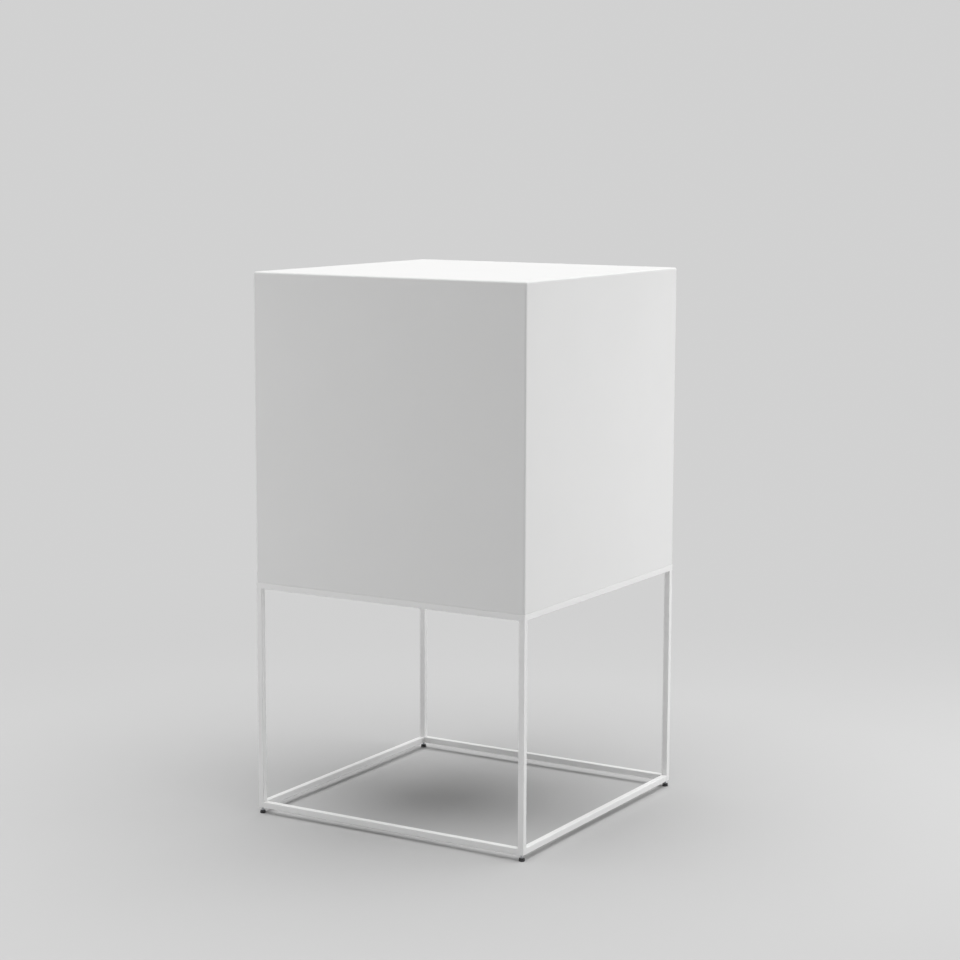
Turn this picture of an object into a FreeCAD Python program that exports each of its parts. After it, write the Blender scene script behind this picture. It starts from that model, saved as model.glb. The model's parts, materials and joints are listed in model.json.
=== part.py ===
"""A cube-shaped LED floor light: a thin-walled plastic cube, lit from below by a battery light unit that
twists into its floor, on an open stand of mitred square steel tube with four adjustable feet.

Frame of the model: millimetres, +Z up, the floor at Z = 0 and the Z axis through the middle of the stand.
-Y is the front. Every piece is written to its own STEP file in parts/.
"""
import FreeCAD
import Part
import math
import os

from FreeCAD import Vector

# ---------------------------------------------------------------- driving dimensions: the stand
stand_width = 600.0  # outside of the square frame
stand_height = 450.0  # tube frame alone, feet not counted
tube = 12.0  # square tube, outside
tube_wall = 1.5
tube_corner = 1.2  # radius of the tube's long outside edges
tube_bore_corner = 0.5  # radius of the tube's long inside edges
foot_gap = 12.0  # underside of the frame above the floor, with the feet as they stand

plate_leg = 62.0  # each straight side of the triangular plates in the top corners
plate_nose = 10.0  # blunt ends of those sides
plate_thickness = 4.0
plate_hole_inset = 17.0  # screw hole from the two inner faces of the rails

# ---------------------------------------------------------------- the adjustable feet
foot_pad_diameter = 11.6
foot_pad_height = 3.5
foot_pad_chamfer = 0.8
foot_hex_across_flats = 9.0
foot_hex_height = 2.5
foot_stud_diameter = 6.0
foot_stud_reach = 18.0  # stud inside the threaded bush, measured from the bush's lower end
foot_stud_root = 2.0  # how far above the floor the moulded-in stud begins
foot_bush_height = 24.0
foot_bush_clearance = 0.15  # bush to the tube's bore, each side
foot_bush_corner = 1.5
foot_bush_chamfer = 0.5  # round both ends, clear of the tube's inside corners
thread_clearance = 0.05  # radial, screw or stud to its female thread, both drawn plain
hole_clearance = 0.3  # radial, screw or stud to a plain hole
spare = 1.0  # how far a cut passes the face it opens, and a boss runs into what carries it

# ---------------------------------------------------------------- the cube, as wide as the stand
shade_height = 600.0
shade_wall = 4.0
shade_edge = 4.0  # outside edge radius, as large as the wall, so the inside edges are sharp
shade_foot_edge = 0.8  # radius of the four edges that the cube stands on
shade_opening_diameter = 206.0  # round opening in the cube's floor for the light unit
insert_diameter = 10.0  # moulded-in threaded inserts
insert_height = 12.0
insert_boss_wall = 5.0
ring_boss_diameter = 12.0  # bosses that take the mount ring's screws
ring_boss_height = 10.0

# ---------------------------------------------------------------- fasteners
m6 = 6.0
m6_head_diameter = 10.5
m6_head_height = 3.3
m6_key = 4.0  # hexagon socket, across flats
m6_length = 14.0
m6_washer_diameter = 12.0
m6_washer_thickness = 1.6
tapping = 3.5  # self-tapping screws of the light unit
tapping_head_diameter = 6.6
tapping_head_height = 2.2
tapping_key = 2.5
head_crown = 0.62  # flat top of a button head, as a share of its width
key_depth = 0.6  # hexagon socket, as a share of the head's height
ring_screw_length = 14.0
dome_screw_length = 16.0
board_screw_length = 7.0
strap_screw_length = 8.0

# ---------------------------------------------------------------- mount ring in the cube's floor
ring_gasket_thickness = 1.5
ring_flange_thickness = 4.0
ring_screw_count = 6
ring_screw_margin = 10.0  # screws outside the round opening's edge
ring_rim = 7.0  # flange outside the screw circle
ring_collar_wall = 6.0
ring_collar_height = 18.0  # above the cube's underside
ring_collar_clearance = 1.0  # collar to the round opening, radial
ledge_height = 4.0  # the three ledges that carry the unit's lugs
ledge_sweep = 52.0  # degrees
ledge_width = 5.0
stop_height = 4.5  # stop blocks at both ends of the lugs' travel
stop_sweep = 3.0  # degrees
stop_gap = 1.0  # degrees, lug to stop at each end of its turn

# ---------------------------------------------------------------- light unit
lug_count = 3
lug_sweep = 34.0  # degrees
lug_height = 3.5
lug_lift = 0.3  # lug above its ledge
lug_clearance = 0.5  # lug to the collar's wall
unit_turn = 60.0  # degrees from locked to free
tray_wall = 3.0
tray_floor = 3.0
tray_ledge_gap = 1.0  # tray's side to the ledges, radial
tray_flange_thickness = 4.0
tray_screw_gap = 1.0  # flange's edge to the heads of the ring's screws
tray_height = 32.0  # underside of the tray to its rim
tray_gap = 0.5  # flange of the tray below the flange of the ring
grip_length = 124.0
grip_width = 14.0
grip_height = 13.0
grip_bevel = 3.0
seal_width = 4.0
seal_groove_depth = 1.2
seal_gap = 0.2  # seal's top below the ring

heat_plate_thickness = 3.0
led_board_thickness = 1.6
led_board_gap = 3.0  # board's edge to the dome's inside
led_ring_count = 3  # rings of 6, 12 and 18 chips
led_edge = 12.0  # outermost chips inside the board's edge
led_size = 5.0
led_height = 1.5
dome_flange_thickness = 2.5
dome_wall = 2.0
dome_taper = 11.0  # top of the dome inside its foot, radial
dome_height = 34.0
dome_bevel = 6.0
dome_head_gap = 1.5  # dome's foot to the screw heads
dome_screw_count = 6
dome_screw_turn = 30.0  # degrees; puts the screws between the lugs
dome_boss_diameter = 8.0
dome_boss_sink = 1.0  # how far a boss runs into the tray's wall

cell_diameter = 18.4
cell_length = 65.0
cell_count = 3
cell_gap = 1.2
cell_button_diameter = 6.0
cell_button_height = 1.0
cell_edge = 0.8
cell_play = 0.1  # cell to its trough
holder_wall = 2.0
holder_floor = 1.5
holder_grasp = 3.3  # how far the troughs reach above the cells' middle
holder_board_gap = 12.0  # battery holder behind the control board
strap_width = 16.0
strap_thickness = 1.0
strap_foot = 9.0
strap_post_diameter = 8.0
strap_post_height = 8.0
strap_play = 0.2  # strap above the cells

board_length = 76.0
board_width = 36.0
board_thickness = 1.6
board_y = -36.0
board_post_diameter = 6.0
board_post_height = 8.5
board_screw_inset = 4.0
plug_length = 12.0  # the board's two lead connectors
plug_width = 6.0
plug_height = 6.0
plug_inset = 3.0  # from the board's rear edge
led_plug_x = 0.0
battery_plug_x = 17.0
inductor_diameter = 10.0
inductor_height = 5.0
inductor_x = -18.0
capacitor_diameter = 6.4
capacitor_height = 7.0
capacitor_places = (-5.0, 4.0)  # along the board
capacitor_back = 7.0  # in front of the board's middle
chip_size = 8.0
chip_height = 1.5
chip_x = 16.0

control_y = -36.0  # button and charging socket, in front of the grip
button_x = 24.0
button_diameter = 15.0
button_clearance = 0.3
button_travel = 1.5  # the button stands out by its travel, so it ends flush
button_flange_diameter = 19.0
button_flange_thickness = 1.2
button_seat_gap = 0.1
button_edge = 0.6
button_stem_diameter = 4.0
switch_size = 6.0
switch_height = 3.5
switch_plunger_diameter = 3.0
switch_plunger_height = 1.2
switch_free_travel = 0.1  # left between stem and plunger with the button fully in

socket_x = -24.0
socket_barrel_diameter = 11.0
socket_bore_diameter = 6.4
socket_pin_diameter = 2.0
socket_pin_recess = 2.0
socket_depth = 9.5
socket_flange_diameter = 15.0
socket_flange_thickness = 1.5
socket_nut_across_flats = 14.0
socket_nut_height = 2.5

cover_diameter = 19.0
cover_thickness = 2.4
cover_gap = 0.2  # cover above the socket's flange when shut
cover_nub_diameter = 5.0
cover_nub_height = 1.1
cover_hinge_reach = 3.5  # hinge axis in front of the disc's edge
cover_barrel_diameter = 4.0
cover_barrel_length = 7.0
cover_pin_diameter = 2.0
cover_pin_clearance = 0.06
cover_ear_thickness = 2.4
cover_ear_gap = 0.3
cover_ear_diameter = 5.0
cover_pull_width = 6.0
cover_pull_length = 3.0

lead_diameter = 1.6
lead_spacing = 4.0  # between the two wires of a pair
lead_height = 2.1  # battery wires above the board
lead_hole_clearance = 0.5

# ---------------------------------------------------------------- levels and places that follow
frame_bottom = foot_gap
frame_top = frame_bottom + stand_height
half = stand_width / 2
inner_half = half - tube
shade_width = stand_width
shade_floor = frame_top  # underside of the cube
shade_top = shade_floor + shade_height
plate_hole = inner_half - plate_hole_inset
foot_place = half - tube / 2

ring_top_of_flange = shade_floor - ring_gasket_thickness
ring_bottom = ring_top_of_flange - ring_flange_thickness
ring_screw_circle = shade_opening_diameter + 2 * ring_screw_margin
ring_flange_diameter = ring_screw_circle + 2 * ring_rim
collar_outer = shade_opening_diameter / 2 - ring_collar_clearance
collar_inner = collar_outer - ring_collar_wall
ledge_inner = collar_inner - ledge_width
ledge_bottom = shade_floor
ledge_top = ledge_bottom + ledge_height

tray_outer = ledge_inner - tray_ledge_gap
tray_inner = tray_outer - tray_wall
tray_flange_radius = ring_screw_circle / 2 - tapping_head_diameter / 2 - tray_screw_gap
seal_radius = (collar_inner + tray_flange_radius) / 2
flange_top = ring_bottom - tray_gap
tray_bottom = flange_top - tray_flange_thickness
tray_inside = tray_bottom + tray_floor
tray_rim = tray_bottom + tray_height
lug_bottom = ledge_top + lug_lift
lug_outer = collar_inner - lug_clearance
plate_bottom = tray_rim
plate_top = plate_bottom + heat_plate_thickness
dome_screw_circle = 2 * (tray_inner + dome_boss_sink) - dome_boss_diameter
dome_base = (dome_screw_circle - tapping_head_diameter) / 2 - dome_head_gap
led_board_radius = dome_base - dome_wall - led_board_gap
board_bottom = tray_inside + board_post_height
board_top = board_bottom + board_thickness
cover_top = tray_bottom - socket_flange_thickness - cover_gap
cover_bottom = cover_top - cover_thickness
hinge_y = control_y - cover_diameter / 2 - cover_hinge_reach
hinge_z = cover_top - cover_thickness / 2
holder_depth = cell_count * cell_diameter + (cell_count - 1) * cell_gap + 2 * holder_wall
holder_front = board_y + board_width / 2 + holder_board_gap
holder_back = holder_front + holder_depth
cell_axis = tray_inside + holder_floor + cell_diameter / 2
holder_top = cell_axis + holder_grasp
plug_y = board_y + board_width / 2 - plug_inset - plug_width / 2

sides = ("front", "right", "back", "left")
corners = ("front_left", "front_right", "back_right", "back_left")
up = Vector(0, 0, 1)


# ---------------------------------------------------------------- small tools
def save(name, shape):
    """Writes one piece, or one group of like pieces, under its own name."""
    shape.exportStep(os.path.join("parts", name + ".step"))


def group(shapes):
    return Part.makeCompound(list(shapes))


def block(x0, x1, y0, y1, z0, z1):
    return Part.makeBox(x1 - x0, y1 - y0, z1 - z0, Vector(x0, y0, z0))


def post(radius, z0, z1, x=0.0, y=0.0):
    return Part.makeCylinder(radius, z1 - z0, Vector(x, y, z0))


def ring(outer, inner, z0, z1, x=0.0, y=0.0):
    return post(outer, z0, z1, x, y).cut(post(inner, z0 - spare, z1 + spare, x, y))


def sector(outer, inner, z0, z1, start, sweep):
    """A piece of a ring, from the angle start over the angle sweep, in degrees."""
    wedge = Part.makeCylinder(outer, z1 - z0, Vector(0, 0, z0), up, sweep)
    wedge.rotate(Vector(0, 0, 0), up, start)
    return wedge.cut(post(inner, z0 - spare, z1 + spare))


def hexagon(across_flats, z0, z1, x=0.0, y=0.0):
    corner = across_flats / math.sqrt(3)
    points = [
        Vector(x + corner * math.cos(math.radians(60 * i)), y + corner * math.sin(math.radians(60 * i)), z0)
        for i in range(7)
    ]
    return Part.Face(Part.makePolygon(points)).extrude(Vector(0, 0, z1 - z0))


def turned(shape, degrees):
    """A copy turned about the light's own upright axis."""
    copy = shape.copy()
    copy.rotate(Vector(0, 0, 0), up, degrees)
    return copy


def moved(shape, x, y, z):
    copy = shape.copy()
    copy.translate(Vector(x, y, z))
    return copy


def on_circle(diameter, count, first=0.0):
    """Places evenly spaced on a circle about the axis."""
    for i in range(count):
        angle = math.radians(first + 360.0 * i / count)
        yield diameter / 2 * math.cos(angle), diameter / 2 * math.sin(angle)


def rounded_square(size, radius):
    """Outline of a square with rounded corners, on the XY plane with one corner at the origin."""
    r, s = radius, size
    k = r * (1 - math.sqrt(0.5))
    edges = [
        Part.makeLine(Vector(r, 0, 0), Vector(s - r, 0, 0)),
        Part.Arc(Vector(s - r, 0, 0), Vector(s - k, k, 0), Vector(s, r, 0)).toShape(),
        Part.makeLine(Vector(s, r, 0), Vector(s, s - r, 0)),
        Part.Arc(Vector(s, s - r, 0), Vector(s - k, s - k, 0), Vector(s - r, s, 0)).toShape(),
        Part.makeLine(Vector(s - r, s, 0), Vector(r, s, 0)),
        Part.Arc(Vector(r, s, 0), Vector(k, s - k, 0), Vector(0, s - r, 0)).toShape(),
        Part.makeLine(Vector(0, s - r, 0), Vector(0, r, 0)),
        Part.Arc(Vector(0, r, 0), Vector(k, k, 0), Vector(r, 0, 0)).toShape(),
    ]
    return Part.Wire(edges)


def socket_screw(diameter, length, head_diameter, head_height, key):
    """A socket screw pointing up: its tapered head's bearing face at Z = 0, with a hexagon socket below."""
    shank = post(diameter / 2, 0, length)
    crown = head_diameter / 2 * head_crown
    head = Part.makeCone(crown, head_diameter / 2, head_height, Vector(0, 0, -head_height))
    key_hole = hexagon(key, -head_height - spare, -head_height * (1 - key_depth))
    return head.fuse(shank).removeSplitter().cut(key_hole)


def tapping_screw(length, x, y, seat, upward=False):
    """One of the light unit's own screws, its head on the level named seat, pointing down unless told."""
    screw = socket_screw(tapping, length, tapping_head_diameter, tapping_head_height, tapping_key)
    if not upward:
        screw.rotate(Vector(0, 0, 0), Vector(1, 0, 0), 180)
    return moved(screw, x, y, seat)


def screw_hole(z0, z1, x, y):
    """A hole that one of those screws passes through freely."""
    return post(tapping / 2 + hole_clearance, z0 - spare, z1 + spare, x, y)


def pilot_hole(depth, mouth, x, y):
    """A hole that one of those screws cuts its thread in, open at its upper end."""
    return post(tapping / 2 + thread_clearance, mouth - depth, mouth + spare, x, y)


# ---------------------------------------------------------------- the stand
def bar(length):
    """A length of the square tube along +Z, one of its long edges on the Z axis."""
    outside = Part.Face(rounded_square(tube, tube_corner)).extrude(Vector(0, 0, length))
    bore = Part.Face(rounded_square(tube - 2 * tube_wall, tube_bore_corner)).extrude(Vector(0, 0, length))
    bore.translate(Vector(tube_wall, tube_wall, 0))
    return outside.cut(bore)


def mitre_wedge():
    """What a 45 degree cut takes off a bar's lower end: all that lies nearer the end than to the XZ plane."""
    outline = Part.makePolygon([
        Vector(-spare, -spare, -spare),
        Vector(-spare, tube + spare, -spare),
        Vector(-spare, tube + spare, tube + spare),
        Vector(-spare, -spare, -spare),
    ])
    return Part.Face(outline).extrude(Vector(tube + 2 * spare, 0, 0))


def mitred_bar(length):
    """A bar whose ends are cut to meet two others in a three-way mitre."""
    piece = bar(length)
    first = mitre_wedge()
    second = first.mirror(Vector(0, 0, 0), Vector(1, -1, 0))
    for wedge in (first, second):
        piece = piece.cut(wedge)
        piece = piece.cut(wedge.mirror(Vector(0, 0, length / 2), up))
    return piece


def make_stand():
    """Four legs and two rings of four rails. The lower rails share the holes for the feet's studs."""
    leg = moved(mitred_bar(stand_height), -half, -half, frame_bottom)
    rail = mitred_bar(stand_width)
    rail.rotate(Vector(0, 0, 0), Vector(0, 1, 0), 90)
    rail.rotate(Vector(0, 0, 0), Vector(1, 0, 0), 90)
    rail = moved(rail, -half, -half, frame_bottom)
    top_rail = rail.copy()
    top_rail.rotate(Vector(0, 0, frame_bottom + stand_height / 2), Vector(1, 0, 0), 180)
    stud_hole = foot_stud_diameter / 2 + hole_clearance
    for x in (-foot_place, foot_place):
        hole = post(stud_hole, frame_bottom - spare, frame_bottom + tube_wall + spare, x, -foot_place)
        rail = rail.cut(hole)
    for turn in range(4):
        save("leg_" + corners[turn], turned(leg, 90 * turn))
        save("base_rail_" + sides[turn], turned(rail, 90 * turn))
        save("top_rail_" + sides[turn], turned(top_rail, 90 * (turn + 2)))


def make_corner_plates():
    """Triangular plates welded into the top corners, each with a hole for one of the cube's screws."""
    z0 = frame_top - plate_thickness
    outline = Part.makePolygon([
        Vector(-inner_half, -inner_half, z0),
        Vector(-inner_half + plate_leg, -inner_half, z0),
        Vector(-inner_half + plate_leg, -inner_half + plate_nose, z0),
        Vector(-inner_half + plate_nose, -inner_half + plate_leg, z0),
        Vector(-inner_half, -inner_half + plate_leg, z0),
        Vector(-inner_half, -inner_half, z0),
    ])
    plate = Part.Face(outline).extrude(Vector(0, 0, plate_thickness))
    plate = plate.cut(post(m6 / 2 + hole_clearance, z0 - spare, frame_top + spare, -plate_hole, -plate_hole))
    save("corner_plates", group(turned(plate, 90 * turn) for turn in range(4)))


def make_feet():
    pad_top = foot_pad_height + foot_hex_height
    stud_top = frame_bottom + tube_wall + foot_stud_reach
    pad = post(foot_pad_diameter / 2, 0, foot_pad_height)
    pad = pad.makeChamfer(foot_pad_chamfer, [e for e in pad.Edges if len(e.Vertexes) == 1])
    pad = pad.fuse(hexagon(foot_hex_across_flats, foot_pad_height, pad_top)).removeSplitter()
    stud = post(foot_stud_diameter / 2, foot_stud_root, stud_top)
    pad = pad.cut(post(foot_stud_diameter / 2, foot_stud_root, pad_top + spare))
    for turn in range(4):
        place = turned(Part.Vertex(-foot_place, -foot_place, 0), 90 * turn).Point
        save("foot_pad_" + corners[turn], moved(pad, place.x, place.y, 0))
        save("foot_stud_" + corners[turn], moved(stud, place.x, place.y, 0))


def make_foot_bushes():
    """Square threaded bushes inside the lower ends of the legs."""
    side = tube - 2 * tube_wall - 2 * foot_bush_clearance
    z0 = frame_bottom + tube_wall
    bush = Part.Face(rounded_square(side, foot_bush_corner)).extrude(Vector(0, 0, foot_bush_height))
    bush = moved(bush, -foot_place - side / 2, -foot_place - side / 2, z0)
    bush = bush.makeChamfer(foot_bush_chamfer, [e for e in bush.Edges if e.BoundBox.ZLength < 0.01])
    bore = foot_stud_diameter / 2 + thread_clearance
    bush = bush.cut(post(bore, z0 - spare, z0 + foot_bush_height + spare, -foot_place, -foot_place))
    save("foot_bushes", group(turned(bush, 90 * turn) for turn in range(4)))


# ---------------------------------------------------------------- the cube
def make_shade():
    """The hollow cube: rounded edges, a round opening in its floor, and bosses for the screws."""
    reach = shade_width / 2
    shell = block(-reach, reach, -reach, reach, shade_floor, shade_top)
    foot = [e for e in shell.Edges if e.BoundBox.ZMax < shade_floor + spare]
    shell = shell.makeFillet(shade_edge, [e for e in shell.Edges if not any(e.isSame(f) for f in foot)])
    foot = [e for e in shell.Edges if e.BoundBox.ZMax < shade_floor + shade_foot_edge / 10]
    shell = shell.makeFillet(shade_foot_edge, foot)
    inside = reach - shade_wall
    room = block(-inside, inside, -inside, inside, shade_floor + shade_wall, shade_top - shade_wall)
    shell = shell.cut(room)
    boss = post(insert_diameter / 2 + insert_boss_wall, shade_floor + shade_wall / 2,
                shade_floor + insert_height + insert_boss_wall, -plate_hole, -plate_hole)
    pocket = post(insert_diameter / 2, shade_floor - spare, shade_floor + insert_height,
                  -plate_hole, -plate_hole)
    for turn in range(4):
        shell = shell.fuse(turned(boss, 90 * turn)).cut(turned(pocket, 90 * turn))
    shell = shell.cut(post(shade_opening_diameter / 2, shade_floor - spare, shade_floor + shade_wall + spare))
    boss_top = shade_floor + shade_wall + ring_boss_height
    screw_end = ring_bottom + ring_screw_length
    for x, y in on_circle(ring_screw_circle, ring_screw_count):
        shell = shell.fuse(post(ring_boss_diameter / 2, shade_floor + shade_wall / 2, boss_top, x, y))
        shell = shell.cut(post(tapping / 2 + thread_clearance, shade_floor - spare, screw_end + spare, x, y))
    save("shade", shell.removeSplitter())


def make_shade_fixings():
    bore = m6 / 2 + thread_clearance
    insert = ring(insert_diameter / 2, bore, shade_floor, shade_floor + insert_height,
                  -plate_hole, -plate_hole)
    washer_top = frame_top - plate_thickness
    washer_bottom = washer_top - m6_washer_thickness
    washer = ring(m6_washer_diameter / 2, m6 / 2 + hole_clearance, washer_bottom, washer_top,
                  -plate_hole, -plate_hole)
    screw = socket_screw(m6, m6_length, m6_head_diameter, m6_head_height, m6_key)
    screw = moved(screw, -plate_hole, -plate_hole, washer_bottom)
    save("shade_inserts", group(turned(insert, 90 * turn) for turn in range(4)))
    save("shade_washers", group(turned(washer, 90 * turn) for turn in range(4)))
    save("shade_screws", group(turned(screw, 90 * turn) for turn in range(4)))


# ---------------------------------------------------------------- mount ring
def make_mount_ring():
    """The bayonet ring: a flange under the cube's floor and a collar through it, with three ledges inside.
    Each ledge has a stop block at its locked end; the next ledge's near end has the one for the free end."""
    flange_radius = ring_flange_diameter / 2
    body = ring(flange_radius, collar_inner, ring_bottom, ring_top_of_flange)
    body = body.fuse(ring(collar_outer, collar_inner, ring_bottom, shade_floor + ring_collar_height))
    pitch = 360.0 / lug_count
    for i in range(lug_count):
        start = i * pitch - ledge_sweep / 2
        body = body.fuse(sector(collar_inner + spare, ledge_inner, ledge_bottom, ledge_top,
                                start, ledge_sweep))
        locked_stop = i * pitch + lug_sweep / 2 + stop_gap
        free_stop = i * pitch - unit_turn - lug_sweep / 2 - stop_sweep - stop_gap
        for stop in (locked_stop, free_stop):
            body = body.fuse(sector(collar_inner + spare, ledge_inner + ledge_width / 2, ledge_bottom,
                                    ledge_top + stop_height, stop, stop_sweep))
    for x, y in on_circle(ring_screw_circle, ring_screw_count):
        body = body.cut(screw_hole(ring_bottom, ring_top_of_flange, x, y))
    save("mount_ring", body.removeSplitter())

    gasket = ring(flange_radius, shade_opening_diameter / 2, ring_top_of_flange, shade_floor)
    screws = []
    for x, y in on_circle(ring_screw_circle, ring_screw_count):
        gasket = gasket.cut(screw_hole(ring_top_of_flange, shade_floor, x, y))
        screws.append(tapping_screw(ring_screw_length, x, y, ring_bottom, upward=True))
    save("ring_gasket", gasket)
    save("ring_screws", group(screws))


# ---------------------------------------------------------------- light unit: tray
def control_bosses():
    """Where the tray carries the control board: four corners of the board."""
    reach_x = board_length / 2 - board_screw_inset
    reach_y = board_width / 2 - board_screw_inset
    for x in (-reach_x, reach_x):
        for y in (board_y - reach_y, board_y + reach_y):
            yield x, y


def strap_places():
    """The two screws of the battery strap, one in front of the pack and one behind it."""
    yield 0.0, holder_front - strap_foot / 2
    yield 0.0, holder_back + strap_foot / 2


def grip():
    """The bar across the underside that the hand turns, with rounded ends and bevelled edges."""
    z0 = tray_bottom - grip_height
    reach = (grip_length - grip_width) / 2
    body = block(-grip_width / 2, grip_width / 2, -reach, reach, z0, tray_bottom + spare)
    for y in (-reach, reach):
        body = body.fuse(post(grip_width / 2, z0, tray_bottom + spare, 0, y))
    body = body.removeSplitter()
    lower = [e for e in body.Edges if e.BoundBox.ZMax < z0 + 0.01]
    return body.makeChamfer(grip_bevel, lower)


def make_tray():
    body = post(tray_flange_radius, tray_bottom, flange_top)
    body = body.fuse(post(tray_outer, tray_bottom, tray_rim))
    body = body.cut(post(tray_inner, tray_inside, tray_rim + spare))
    pitch = 360.0 / lug_count
    for i in range(lug_count):
        body = body.fuse(sector(lug_outer, tray_outer - spare, lug_bottom, lug_bottom + lug_height,
                                i * pitch - lug_sweep / 2, lug_sweep))
    body = body.cut(ring(seal_radius + seal_width / 2, seal_radius - seal_width / 2,
                         flange_top - seal_groove_depth, flange_top + spare))
    for x, y in on_circle(dome_screw_circle, dome_screw_count, dome_screw_turn):
        body = body.fuse(post(dome_boss_diameter / 2, tray_inside - spare, tray_rim, x, y))
    for x, y in on_circle(dome_screw_circle, dome_screw_count, dome_screw_turn):
        body = body.cut(pilot_hole(dome_screw_length, tray_rim, x, y))
    for x, y in control_bosses():
        body = body.fuse(post(board_post_diameter / 2, tray_inside - spare, board_bottom, x, y))
        body = body.cut(pilot_hole(board_screw_length, board_bottom, x, y))
    strap_seat = tray_inside + strap_post_height
    for x, y in strap_places():
        body = body.fuse(post(strap_post_diameter / 2, tray_inside - spare, strap_seat, x, y))
        body = body.cut(pilot_hole(strap_screw_length, strap_seat, x, y))
    body = body.fuse(grip())
    body = body.cut(post(button_diameter / 2 + button_clearance, tray_bottom - spare, tray_inside + spare,
                         button_x, control_y))
    body = body.cut(post(socket_barrel_diameter / 2, tray_bottom - spare, tray_inside + spare,
                         socket_x, control_y))
    for ear in cover_ears():
        body = body.fuse(ear)
    save("light_tray", body.removeSplitter())

    top = ring_bottom - seal_gap
    save("unit_seal", ring(seal_radius + seal_width / 2, seal_radius - seal_width / 2,
                           flange_top - seal_groove_depth, top))


# ---------------------------------------------------------------- light unit: charging socket and its cover
def cover_ears():
    """Two ears under the tray that carry the cover's hinge pin."""
    offset = cover_barrel_length / 2 + cover_ear_gap
    radius = cover_ear_diameter / 2
    for side in (-1, 1):
        x0 = socket_x + side * offset
        x1 = x0 + side * cover_ear_thickness
        low, high = min(x0, x1), max(x0, x1)
        eye = Part.makeCylinder(radius, high - low, Vector(low, hinge_y, hinge_z), Vector(1, 0, 0))
        web = block(low, high, hinge_y - radius, hinge_y + radius, hinge_z, tray_bottom + spare)
        hole = Part.makeCylinder(cover_pin_diameter / 2, high - low + 2 * spare,
                                 Vector(low - spare, hinge_y, hinge_z), Vector(1, 0, 0))
        yield eye.fuse(web).cut(hole)


def make_charge_socket():
    """A barrel socket pushed in from below, the contact pin in its bore, and the nut that holds it."""
    mouth = tray_bottom - socket_flange_thickness
    bore_end = mouth + socket_depth
    body = post(socket_barrel_diameter / 2, mouth, board_bottom, socket_x, control_y)
    body = body.fuse(post(socket_flange_diameter / 2, mouth, tray_bottom, socket_x, control_y))
    body = body.cut(post(socket_bore_diameter / 2, mouth - spare, bore_end, socket_x, control_y))
    save("charge_socket", body.removeSplitter())
    pin_end = mouth + socket_pin_recess
    save("socket_pin", post(socket_pin_diameter / 2, pin_end, bore_end, socket_x, control_y))
    nut_top = tray_inside + socket_nut_height
    nut = hexagon(socket_nut_across_flats, tray_inside, nut_top, socket_x, control_y)
    nut = nut.cut(post(socket_barrel_diameter / 2, tray_inside - spare, nut_top + spare, socket_x, control_y))
    save("socket_nut", nut)


def make_charge_cover():
    """The flap over the socket: a disc with a sealing nub, an arm to its hinge barrel and a pull tab."""
    disc = post(cover_diameter / 2, cover_bottom, cover_top, socket_x, control_y)
    nub_top = cover_top + cover_gap + cover_nub_height
    disc = disc.fuse(post(cover_nub_diameter / 2, hinge_z, nub_top, socket_x, control_y))
    half_barrel = cover_barrel_length / 2
    arm = block(socket_x - half_barrel, socket_x + half_barrel, hinge_y, control_y, cover_bottom, cover_top)
    barrel = Part.makeCylinder(cover_barrel_diameter / 2, cover_barrel_length,
                               Vector(socket_x - half_barrel, hinge_y, hinge_z), Vector(1, 0, 0))
    tab_end = control_y + cover_diameter / 2 + cover_pull_length
    tab = block(socket_x - cover_pull_width / 2, socket_x + cover_pull_width / 2, control_y, tab_end,
                cover_bottom, cover_bottom + cover_thickness / 2)
    body = disc.fuse([arm, barrel, tab]).removeSplitter()
    hole = Part.makeCylinder(cover_pin_diameter / 2 + cover_pin_clearance, cover_barrel_length + 2 * spare,
                             Vector(socket_x - half_barrel - spare, hinge_y, hinge_z), Vector(1, 0, 0))
    save("charge_cover", body.cut(hole))
    reach = cover_barrel_length / 2 + cover_ear_gap + cover_ear_thickness
    pin = Part.makeCylinder(cover_pin_diameter / 2, 2 * reach, Vector(socket_x - reach, hinge_y, hinge_z),
                            Vector(1, 0, 0))
    save("cover_pin", pin)


# ---------------------------------------------------------------- light unit: button and switch
def make_button():
    flange_bottom = tray_inside + button_seat_gap
    flange_top_z = flange_bottom + button_flange_thickness
    face = tray_bottom - button_travel
    cap = post(button_diameter / 2, face, flange_bottom + button_flange_thickness / 2, button_x, control_y)
    low = [e for e in cap.Edges if e.BoundBox.ZMax < face + 0.01]
    cap = cap.makeChamfer(button_edge, low)
    cap = cap.fuse(post(button_flange_diameter / 2, flange_bottom, flange_top_z, button_x, control_y))
    stem_top = board_bottom - switch_height - switch_plunger_height - switch_free_travel - button_travel
    stem_root = flange_bottom + button_flange_thickness / 2
    cap = cap.fuse(post(button_stem_diameter / 2, stem_root, stem_top, button_x, control_y))
    save("power_button", cap.removeSplitter())
    body = block(button_x - switch_size / 2, button_x + switch_size / 2, control_y - switch_size / 2,
                 control_y + switch_size / 2, board_bottom - switch_height, board_bottom)
    plunger = post(switch_plunger_diameter / 2, board_bottom - switch_height - switch_plunger_height,
                   board_bottom - switch_height, button_x, control_y)
    save("tact_switch", body.fuse(plunger).removeSplitter())


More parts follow.
